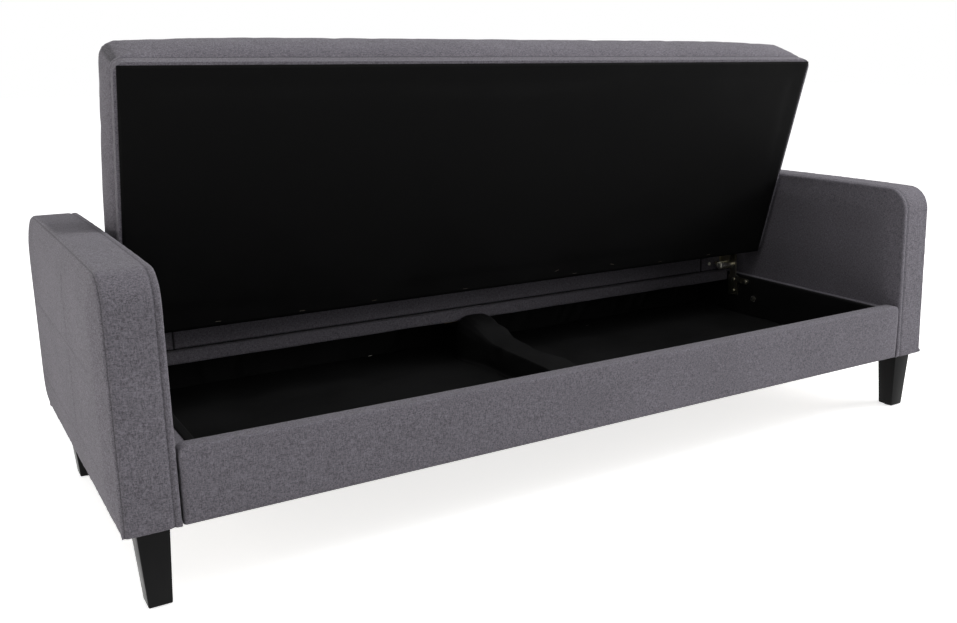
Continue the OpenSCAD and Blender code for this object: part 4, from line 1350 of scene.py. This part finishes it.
@dataclass
class Box:
    """The upholstered box: rails, deck, ledges, linings and the divider's drape."""

    rail_end_radius: float = 0.014
    rail_radius: float = 0.005
    rail_groove: float = 0.008
    rail_sag: float = 0.0035
    drape_stations: int = 84
    hem_width: float = 0.014
    hem_rise: float = 0.0048
    # Across and upwards, in mm and as a share: over the beam, then over the post
    beam_section: tuple = (
        (-57.5, 0.0, -84.0, 0.0), (-49.0, 0.05, -76.0, 0.05), (-43.0, 0.35, -72.5, 0.35),
        (-38.5, 0.7, -71.5, 0.68), (-35.5, 0.92, -64.0, 0.86), (-33.5, 1.0, -50.0, 0.96),
        (-22.0, 1.0, -37.0, 1.0), (2.0, 1.0, -14.0, 1.0), (26.0, 1.0, 5.0, 0.99),
        (34.0, 1.0, 14.0, 0.95), (36.0, 0.92, 23.0, 0.86), (38.0, 0.7, 29.0, 0.68),
        (39.5, 0.35, 34.0, 0.35), (43.0, 0.05, 41.0, 0.05), (51.0, 0.0, 52.0, 0.0),
    )

    def build(self, wardrobe: Wardrobe) -> None:
        """Builds every soft piece of the box.

        Args:
            wardrobe: The finishes.
        """
        self.front_rail(wardrobe)
        self.deck(wardrobe)
        self.rear_panel(wardrobe)
        for side in Side:
            self.ledge(side, wardrobe)
            self.bay_lining(side, wardrobe)
        self.drape(wardrobe)

    def front_rail(self, wardrobe: Wardrobe) -> None:
        """Builds the front rail's cover, with rounded top ends and a slightly slack top edge."""
        low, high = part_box("front_rail_cover")
        spread = Vector((-0.0008, 0.0006, 0))
        low, high = low - spread - Vector((0, 0, 0.001)), high + spread
        obj = add_block("front_rail_pad", low, high)
        for x in (low.x, high.x):
            bevel_edges(obj, lambda a, b: all(abs(p.x - x) < 1e-5 and abs(p.z - high.z) < 1e-5
                                              for p in (a, b)), self.rail_end_radius, 6)
        bevel_edges(obj, lambda a, b: abs(a.y - low.y) < 1e-5 and abs(b.y - low.y) < 1e-5
                    and abs(a.x - b.x) < 1e-5 and abs(a.z - b.z) > 0.02, self.rail_groove, 4)
        for y in (low.y, high.y):
            bevel_edges(obj, lambda a, b: abs(a.y - y) < 1e-5 and abs(b.y - y) < 1e-5
                        and abs(a.z - b.z) < 1e-5, self.rail_radius, 3)
        self.remesh(obj, 0.005)
        points = read_points(obj)
        run = np.clip((points[:, 0] - low.x) / (high.x - low.x), 0, 1)
        slack = self.rail_sag * np.sin(np.pi * run) ** 0.8 * smooth_step(points[:, 2], low.z + 0.06, high.z)
        points[:, 2] -= slack
        waves = ripple(points * np.array([1.0, 1.0, 0.5]), 0.2, 41)
        front = smooth_step(-points[:, 1], -low.y - 0.006, -low.y)
        points[:, 1] += front * (0.0006 * waves - 0.0012 * np.sin(np.pi * np.clip(
            (points[:, 2] - low.z) / (high.z - low.z), 0, 1)))
        write_points(obj, points)
        finish_piece(obj, wardrobe.cloth, "base", ["front_rail_cover"])

    def deck(self, wardrobe: Wardrobe) -> None:
        """Builds the cover of the deck that the flat backrest lies on."""
        low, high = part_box("rear_deck_cover")
        obj = add_block("rear_deck_pad", low, high)
        bevel_edges(obj, lambda a, b: abs(a.y - b.y) < 1e-6 and abs(a.z - b.z) < 1e-6, self.rail_radius, 3)
        self.soften(obj, 0.0006, 0.2, seed=43)
        finish_piece(obj, wardrobe.cloth, "base", ["rear_deck_cover"])

    def rear_panel(self, wardrobe: Wardrobe) -> None:
        """Builds the cloth over the rear board."""
        low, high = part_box("rear_cover")
        obj = add_block("rear_cloth", low, high)
        bevel_edges(obj, lambda a, b: abs(a.y - high.y) < 1e-5 and abs(b.y - high.y) < 1e-5, 0.002, 3)
        self.soften(obj, 0.0005, 0.12, seed=45)
        finish_piece(obj, wardrobe.cloth, "base", ["rear_cover"])

    def ledge(self, side: Side, wardrobe: Wardrobe) -> None:
        """Builds a side ledge's strip of cloth, rolled over on the box side.

        Args:
            side: Which end of the sofa.
            wardrobe: The finishes.
        """
        node = f"{side.word}_ledge_cover"
        low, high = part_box(node)
        obj = add_block(f"{side.word}_ledge_strip", low, high)
        inner_x = low.x if side is Side.RIGHT else high.x
        bevel_edges(obj, lambda a, b: abs(a.x - inner_x) < 1e-5 and abs(b.x - inner_x) < 1e-5
                    and abs(a.z - b.z) < 1e-6 and a.z > high.z - 1e-5, 0.003, 4)
        self.soften(obj, 0.0004, 0.08, seed=47, voxel=0.003)
        finish_piece(obj, wardrobe.cloth, "base", [node])

    @staticmethod
    def soften(obj: bpy.types.Object, height: float, wave_length: float, seed: int,
               voxel: float = 0.006) -> None:
        """Remeshes a covered board and lets its face wave a little.

        Args:
            obj: The piece.
            height: Height of the waves.
            wave_length: Their length.
            seed: Start of the random draws.
            voxel: Size of the new faces.
        """
        Box.remesh(obj, voxel)
        points = read_points(obj)
        waves = ripple(points, wave_length, seed) * height - height * 0.5
        write_points(obj, points + read_normals(obj) * waves[:, None])

    @staticmethod
    def remesh(obj: bpy.types.Object, voxel: float) -> None:
        """Gives a piece evenly sized faces."""
        obj.data.remesh_voxel_size = voxel
        select_only(obj)
        bpy.ops.object.voxel_remesh()

    rear_folds = {
        "left": ((-0.586, 0.05, 0.011, 0.007), (-0.545, 0.06, 0.009, 0.005), (-0.70, -0.04, 0.012, 0.004),
                 (-0.42, 0.05, 0.012, 0.004), (-0.30, 0.05, 0.010, 0.005), (-0.18, 0.05, 0.012, 0.006)),
        "right": ((0.350, 0.06, 0.009, 0.006), (0.388, 0.06, 0.009, 0.008), (0.437, 0.06, 0.009, 0.008),
                  (0.560, 0.05, 0.010, 0.004), (0.625, 0.06, 0.010, 0.006), (0.668, 0.06, 0.009, 0.005),
                  (0.802, 0.05, 0.010, 0.006), (0.17, 0.05, 0.012, 0.006), (0.235, 0.05, 0.010, 0.004)),
    }

    def bay_lining(self, side: Side, wardrobe: Wardrobe) -> None:
        """Builds one bay's lining: a floor and three walls of loose black cloth.

        Args:
            side: Which bay.
            wardrobe: The finishes.
        """
        node = f"{side.word}_bay_lining"
        low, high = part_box(node)
        obj = add_block(f"{side.word}_bay_cloth", low, high)
        divider_x = low.x if side is Side.RIGHT else high.x
        delete_faces(obj, lambda middle, normal: middle.z > high.z - 1e-5
                     or abs(middle.x - divider_x) < 1e-5)
        apply_modifier(obj, "SUBSURF", subdivision_type="SIMPLE", levels=6, render_levels=6)
        subdivide_near(obj, lambda points: points[:, 1] > high.y - 0.001)
        points = read_points(obj)
        self.fold_walls(points, low, high, side)
        write_points(obj, points)
        self.hem(obj, high.z, low.x if side is Side.LEFT else high.x, side)
        apply_modifier(obj, "SOLIDIFY", thickness=0.0008, offset=0)
        finish_piece(obj, wardrobe.box_lining, "base", [node])

    def hem(self, obj: bpy.types.Object, top: float, wall_x: float, side: Side) -> None:
        """Turns the end wall's upper edge outwards over the side ledge's strip.

        Args:
            obj: The bay's cloth.
            top: Height of its walls.
            wall_x: The end wall's X.
            side: Which bay.
        """
        select_only(obj)
        bpy.ops.object.mode_set(mode="EDIT")
        bpy.ops.mesh.select_mode(type="EDGE")
        bpy.ops.mesh.select_all(action="DESELECT")
        mesh = bmesh.from_edit_mesh(obj.data)
        for edge in mesh.edges:
            on_rim = all(v.co.z > top - 1e-4 and abs(v.co.x - wall_x) < 0.008 for v in edge.verts)
            along = abs(edge.verts[0].co.y - edge.verts[1].co.y) > 1e-4
            edge.select_set(edge.is_boundary and on_rim and along)
        bmesh.update_edit_mesh(obj.data)
        for move in ((-0.001 * side.value, 0, self.hem_rise), (0.003 * side.value, 0, 0.0004),
                     (0.6 * self.hem_width * side.value, 0, 0), (0.4 * self.hem_width * side.value, 0, -0.0008)):
            bpy.ops.mesh.extrude_region_move(TRANSFORM_OT_translate={"value": move})
        bpy.ops.object.mode_set(mode="OBJECT")

    def fold_walls(self, points: Points, low: Vector, high: Vector, side: Side) -> None:
        """Pulls a bay's cloth off its corners and folds its rear wall.

        Args:
            points: The cloth's points, which are changed.
            low: The bay's lowest corner.
            high: The bay's highest corner.
            side: Which bay.
        """
        floor = smooth_step(-points[:, 2], -low.z - 0.004, -low.z)
        height = np.clip((points[:, 2] - low.z) / (high.z - low.z), 0, 1)
        rear = smooth_step(points[:, 1], high.y - 0.004, high.y)
        front = smooth_step(-points[:, 1], -low.y - 0.004, -low.y)
        outer_x = high.x if side is Side.RIGHT else low.x
        end = np.where(np.abs(points[:, 0] - outer_x) < 0.004, 1.0, 0.0)
        loose = np.sin(np.pi * height) ** 0.7
        folds = np.zeros(len(points))
        for place, lean, width, size in self.rear_folds[side.word]:
            off = points[:, 0] - place - lean * (height - 0.5)
            folds = np.maximum(folds, size * np.exp(-(off / width) ** 2))
        rough = np.maximum(ripple(points * np.array([1.0, 1.0, 0.35]), 0.11, 61 + side.value), 0) * 0.0016
        points[:, 1] -= rear * (0.0008 + (folds + rough) * loose)
        points[:, 1] += front * (0.0008 + rough * loose)
        points[:, 0] -= side.value * end * (0.0008 + 0.003 * loose * (1 + ripple(points, 0.12, 64)) / 2)
        points[:, 2] += floor * (0.0008 + 0.0014 * (1 + ripple(points, 0.2, 67)))

    def drape(self, wardrobe: Wardrobe) -> None:
        """Builds the black cloth that hangs over the divider's beam and post."""
        low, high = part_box("divider_drape")
        deck_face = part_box("rear_deck_cover")[0].y - 0.0015
        under_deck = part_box("rear_deck_cover")[0].z + 0.0005
        post_end = FRONT_Y + 0.697
        stations = np.concatenate([
            np.linspace(low.y + 0.001, deck_face - 0.004, self.drape_stations),
            [deck_face - 0.001, deck_face], np.linspace(deck_face + 0.004, post_end, 9),
            [post_end + 0.003], np.linspace(post_end + 0.006, high.y - 0.001, 8)])
        rows = len(stations) - 1
        bpy.ops.object.select_all(action="DESELECT")
        bpy.ops.mesh.primitive_grid_add(x_subdivisions=64, y_subdivisions=rows, size=1)
        obj = bpy.context.object
        obj.name = obj.data.name = "divider_cloth"
        grid = read_points(obj)
        girth, length = grid[:, 0] + 0.5, grid[:, 1] + 0.5
        y = stations[np.clip(np.round(length * rows).astype(int), 0, rows)]
        in_front = y < deck_face - 0.0005
        climb = smooth_step(y, deck_face - 0.155, deck_face - 0.006) * in_front
        top = high.z - 0.040 + 0.0505 * climb
        top = np.where(in_front | (y > post_end + 0.001), top, under_deck)
        knots = np.linspace(0, 1, len(self.beam_section))
        beam_x, beam_up, deck_x, deck_up = (
            np.interp(girth, knots, [row[column] for row in self.beam_section]) for column in range(4))
        across = 0.001 * (beam_x + (deck_x - beam_x) * climb)
        upward = beam_up + (deck_up - beam_up) * climb
        points = np.stack([across, y, low.z + 0.002 + upward * (top - low.z - 0.002)], axis=1)
        soft = (1 + ripple(points * np.array([0.7, 1.0, 0.5]), 0.13, 72)) * 0.0018
        fine = (1 + ripple(points * np.array([0.8, 1.0, 1.4]), 0.045, 71)) * 0.0008
        pleats = np.zeros(len(points))
        for place, lean, size in ((0.590, 0.5, -0.0020), (0.568, 0.8, 0.0022), (0.612, 0.2, 0.0022),
                                  (0.545, 1.0, -0.0018)):
            line = y - FRONT_Y - place + lean * (across - 0.004)
            pleats += size * np.exp(-(line / 0.008) ** 2) * smooth_step(upward, 0.6, 0.95)
        normal = np.stack([np.clip(across / high.x, -1, 1), 0 * y, 0.35 + 0.65 * upward], axis=1)
        swell = (soft + fine + pleats) * smooth_step(upward, 0.05, 0.4)
        swell = np.where(y > deck_face - 0.003, 0, swell)
        write_points(obj, points + normal * swell[:, None])
        apply_modifier(obj, "SOLIDIFY", thickness=0.0012, offset=-1)
        finish_piece(obj, wardrobe.box_lining, "base", ["divider_drape"])


@dataclass(frozen=True)
class StapleRow:
    """Staples at some places on one body."""

    name: str
    body: str
    places: tuple
    turned: bool = False

    def build(self, wardrobe: Wardrobe) -> None:
        """Builds the row from one staple and its copies.

        Args:
            wardrobe: The finishes.
        """
        first = add_block(self.name, (-0.006, -0.0006, -0.0004), (0.006, 0.0006, 0.0004))
        bevel_edges(first, lambda a, b: True, 0.00035, 2)
        copies = []
        for x, y, z, angle in self.places:
            made = first.copy()
            made.data = first.data.copy()
            bpy.context.scene.collection.objects.link(made)
            turn = Matrix.Rotation(math.radians(angle), 4, "Z")
            made.data.transform(Matrix.Translation((x, FRONT_Y + y, z)) @ turn)
            if self.turned:
                made.data.transform(CLOSED_TO_RAISED)
            copies.append(made)
        bpy.data.objects.remove(first)
        bpy.ops.object.select_all(action="DESELECT")
        for made in copies:
            made.select_set(True)
        bpy.context.view_layer.objects.active = copies[0]
        bpy.ops.object.join()
        joined = bpy.context.object
        joined.name = joined.data.name = self.name
        # The seat's staples take steel darkened as painted shade; the box's staples keep plain steel.
        steel = wardrobe.dark_painted_steel if self.turned else wardrobe.steel
        finish_piece(joined, steel, self.body, [])
        select_only(joined)
        bpy.ops.object.shade_smooth_by_angle(angle=math.radians(40))


@dataclass
class Staples:
    """The staples that show on the linings."""

    box_places: tuple = ((0.397, 0.714, 0.1704, 20), (-0.262, 0.7740, 0.1704, 8))
    seat_places: tuple = ((-0.709, 0.586, 0.2962, 4), (-0.344, 0.587, 0.2962, -5), (-0.100, 0.589, 0.2962, 6),
                          (0.170, 0.572, 0.2962, -20), (0.229, 0.588, 0.2962, 0), (0.350, 0.575, 0.2962, 12),
                          (-0.520, 0.588, 0.2962, 0), (0.520, 0.588, 0.2962, -4), (0.700, 0.587, 0.2962, 3))

    def build(self, wardrobe: Wardrobe) -> None:
        """Builds the staples of the box and of the seat.

        Args:
            wardrobe: The finishes.
        """
        StapleRow("box_staples", "base", self.box_places).build(wardrobe)
        StapleRow("seat_staples", "seat", self.seat_places, turned=True).build(wardrobe)


@dataclass
class Legs:
    """The four tapered legs with softened edges."""

    edge: float = 0.0022
    foot_width: float = 0.041
    foot_depth: float = 0.045

    def build(self, wardrobe: Wardrobe) -> None:
        """Builds the four legs.

        Args:
            wardrobe: The finishes.
        """
        for end in ("front", "rear"):
            for side in Side:
                self.leg(f"{end}_{side.word}_leg", wardrobe)

    def leg(self, node: str, wardrobe: Wardrobe) -> None:
        """Builds one leg from the corners of its CAD node.

        Args:
            node: The leg's CAD node.
            wardrobe: The finishes.
        """
        low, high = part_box(node)
        obj = add_block(f"{node}_turned".replace("_turned", "_painted"), low, high)
        foot = [v.co for v in frame["nodes"][node].data.vertices if v.co.z < low.z + 0.0001]
        foot_low = Vector((min(p.x for p in foot), min(p.y for p in foot), low.z))
        foot_high = Vector((max(p.x for p in foot), max(p.y for p in foot), low.z))
        for vertex in obj.data.vertices:
            if vertex.co.z < low.z + 1e-5:
                vertex.co.x = foot_low.x if vertex.co.x < (low.x + high.x) / 2 else foot_high.x
                vertex.co.y = foot_low.y if vertex.co.y < (low.y + high.y) / 2 else foot_high.y
        bevel_edges(obj, lambda a, b: True, self.edge, 3)
        obj = finish_piece(obj, wardrobe.paint, "base", [node])
        select_only(obj)
        bpy.ops.object.shade_smooth_by_angle(angle=math.radians(25))


# Floor, light and camera


@dataclass(frozen=True)
class Lamp:
    """A soft rectangular lamp."""

    name: str
    place: tuple
    aim: tuple
    size: float
    power: float
    color: tuple = (1.0, 1.0, 1.0)

    def build(self) -> None:
        """Adds the lamp."""
        data = bpy.data.lights.new(self.name, "AREA")
        data.shape = "SQUARE"
        data.size = self.size
        data.energy = self.power
        data.color = self.color
        lamp = bpy.data.objects.new(self.name, data)
        lamp.location = self.place
        lamp.visible_camera = False
        lamp.rotation_mode = "QUATERNION"
        lamp.rotation_quaternion = (Vector(self.aim) - Vector(self.place)).to_track_quat("-Z", "Y")
        bpy.context.scene.collection.objects.link(lamp)


@dataclass(frozen=True)
class Studio:
    """A pale floor, a white surround and six soft lamps."""

    floor_size: float = 60.0
    floor_color: tuple = (0.86, 0.86, 0.86, 1.0)
    ambient: float = 0.18
    near_lift: float = 0.75
    far_lift: float = 1.0
    lamps: tuple = (
        Lamp("overhead_lamp", (1.2, -1.9, 4.3), (0.2, 0.0, 0.3), 2.6, 82.0),
        Lamp("right_lamp", (4.4, -2.2, 2.4), (0.2, 0.0, 0.3), 2.0, 100.0),
        Lamp("front_lamp", (4.6, -5.2, 1.75), (0.2, 0.0, 0.3), 3.2, 55.0),
        Lamp("left_lamp", (-2.5, -0.3, 0.45), (-1.0, 0.0, 0.4), 1.2, 13.0, (1.0, 0.98, 0.94)),
        Lamp("left_overhead_lamp", (-2.2, -0.8, 3.6), (0.0, 0.0, 0.3), 2.0, 13.0),
        Lamp("rear_lamp", (-1.2, 2.4, 3.6), (0.0, 0.0, 0.5), 2.4, 26.0),
    )

    def build(self) -> None:
        """Builds the floor, the surround and the lamps."""
        bpy.ops.object.select_all(action="DESELECT")
        bpy.ops.mesh.primitive_plane_add(size=self.floor_size, location=(0, 0, 0))
        floor = bpy.context.object
        floor.name = "studio_floor"
        floor.data.materials.append(self.floor_material())
        for lamp in self.lamps:
            lamp.build()
        self.surround()

    @staticmethod
    def seen_rays(tree: Tree) -> bpy.types.NodeSocket:
        """One where a ray comes from the camera, a mirror or glass, and zero elsewhere."""
        path = tree.add("ShaderNodeLightPath").outputs
        either = tree.math("MAXIMUM", path["Is Camera Ray"], path["Is Glossy Ray"])
        return tree.math("MAXIMUM", either, path["Is Transmission Ray"])

    def floor_material(self) -> bpy.types.Material:
        """Makes the floor's material, lifted towards white where it is seen.

        Returns:
            The material.
        """
        material = bpy.data.materials.new("studio_floor")
        material.use_nodes = True
        tree = Tree(material.node_tree)
        shader = material.node_tree.nodes["Principled BSDF"]
        shader.inputs["Base Color"].default_value = self.floor_color
        shader.inputs["Roughness"].default_value = 0.9
        shader.inputs["Specular IOR Level"].default_value = 0.0
        shader.inputs["Emission Color"].default_value = (1, 1, 1, 1)
        away = tree.add("ShaderNodeVectorMath", {0: tree.add("ShaderNodeTexCoord").outputs["Object"]},
                        operation="LENGTH").outputs["Value"]
        lift = tree.ranged(away, 1.2, 3.2, self.near_lift, self.far_lift)
        strength = tree.math("MULTIPLY", self.seen_rays(tree), lift)
        tree.tree.links.new(strength, shader.inputs["Emission Strength"])
        return material

    def surround(self) -> None:
        """Sets the world: white where it is seen, and a plain soft light elsewhere."""
        world = bpy.data.worlds.new("studio")
        world.use_nodes = True
        tree = Tree(world.node_tree)
        background = world.node_tree.nodes["Background"]
        background.inputs["Color"].default_value = (1, 1, 1, 1)
        strength = tree.ranged(self.seen_rays(tree), 0.0, 1.0, self.ambient, 1.0)
        tree.tree.links.new(strength, background.inputs["Strength"])
        bpy.context.scene.world = world


@dataclass(frozen=True)
class PhotoCamera:
    """The camera at the photograph's place."""

    place: tuple = (-1.2787, -2.3478, 0.9399)
    yaw: float = 34.086
    pitch: float = -12.142
    roll: float = 0.248
    focal_pixels: float = 1046.4
    centre_pixels: tuple = (593.7, 285.8)
    frame_pixels: tuple = (957, 623)
    sensor: float = 36.0

    def build(self) -> None:
        """Adds the camera and makes it the scene's."""
        width, height = self.frame_pixels
        data = bpy.data.cameras.new("photo_camera")
        data.sensor_width = self.sensor
        data.lens = self.focal_pixels / width * self.sensor
        data.shift_x = (width / 2 - self.centre_pixels[0]) / width
        data.shift_y = (self.centre_pixels[1] - height / 2) / width
        data.clip_start, data.clip_end = 0.05, 100.0
        camera = bpy.data.objects.new("photo_camera", data)
        bpy.context.scene.collection.objects.link(camera)
        yaw, pitch, roll = (math.radians(v) for v in (self.yaw, self.pitch, self.roll))
        forward = Vector((math.sin(yaw) * math.cos(pitch), math.cos(yaw) * math.cos(pitch), math.sin(pitch)))
        right = Vector((math.cos(yaw), -math.sin(yaw), 0))
        down = forward.cross(right)
        turned_right = right * math.cos(roll) + down * math.sin(roll)
        turned_down = down * math.cos(roll) - right * math.sin(roll)
        axes = Matrix((turned_right, -turned_down, -forward)).transposed()
        camera.matrix_world = Matrix.Translation(self.place) @ axes.to_4x4()
        bpy.context.scene.camera = camera


def main() -> None:
    """Builds the sofa's looks, piece by piece, and its studio."""
    logging.basicConfig(level=logging.INFO, format="%(message)s")
    bpy.context.scene.view_settings.view_transform = "Standard"
    PhotoCamera().build()
    Studio().build()
    wardrobe = Wardrobe()
    wardrobe.dress_frame()
    for part in (Legs(), Box(), Staples(), Arms(), Backrest(), Seat()):
        LOG.info("building %s", type(part).__name__)
        part.build(wardrobe)


if __name__ == "__main__":
    main()
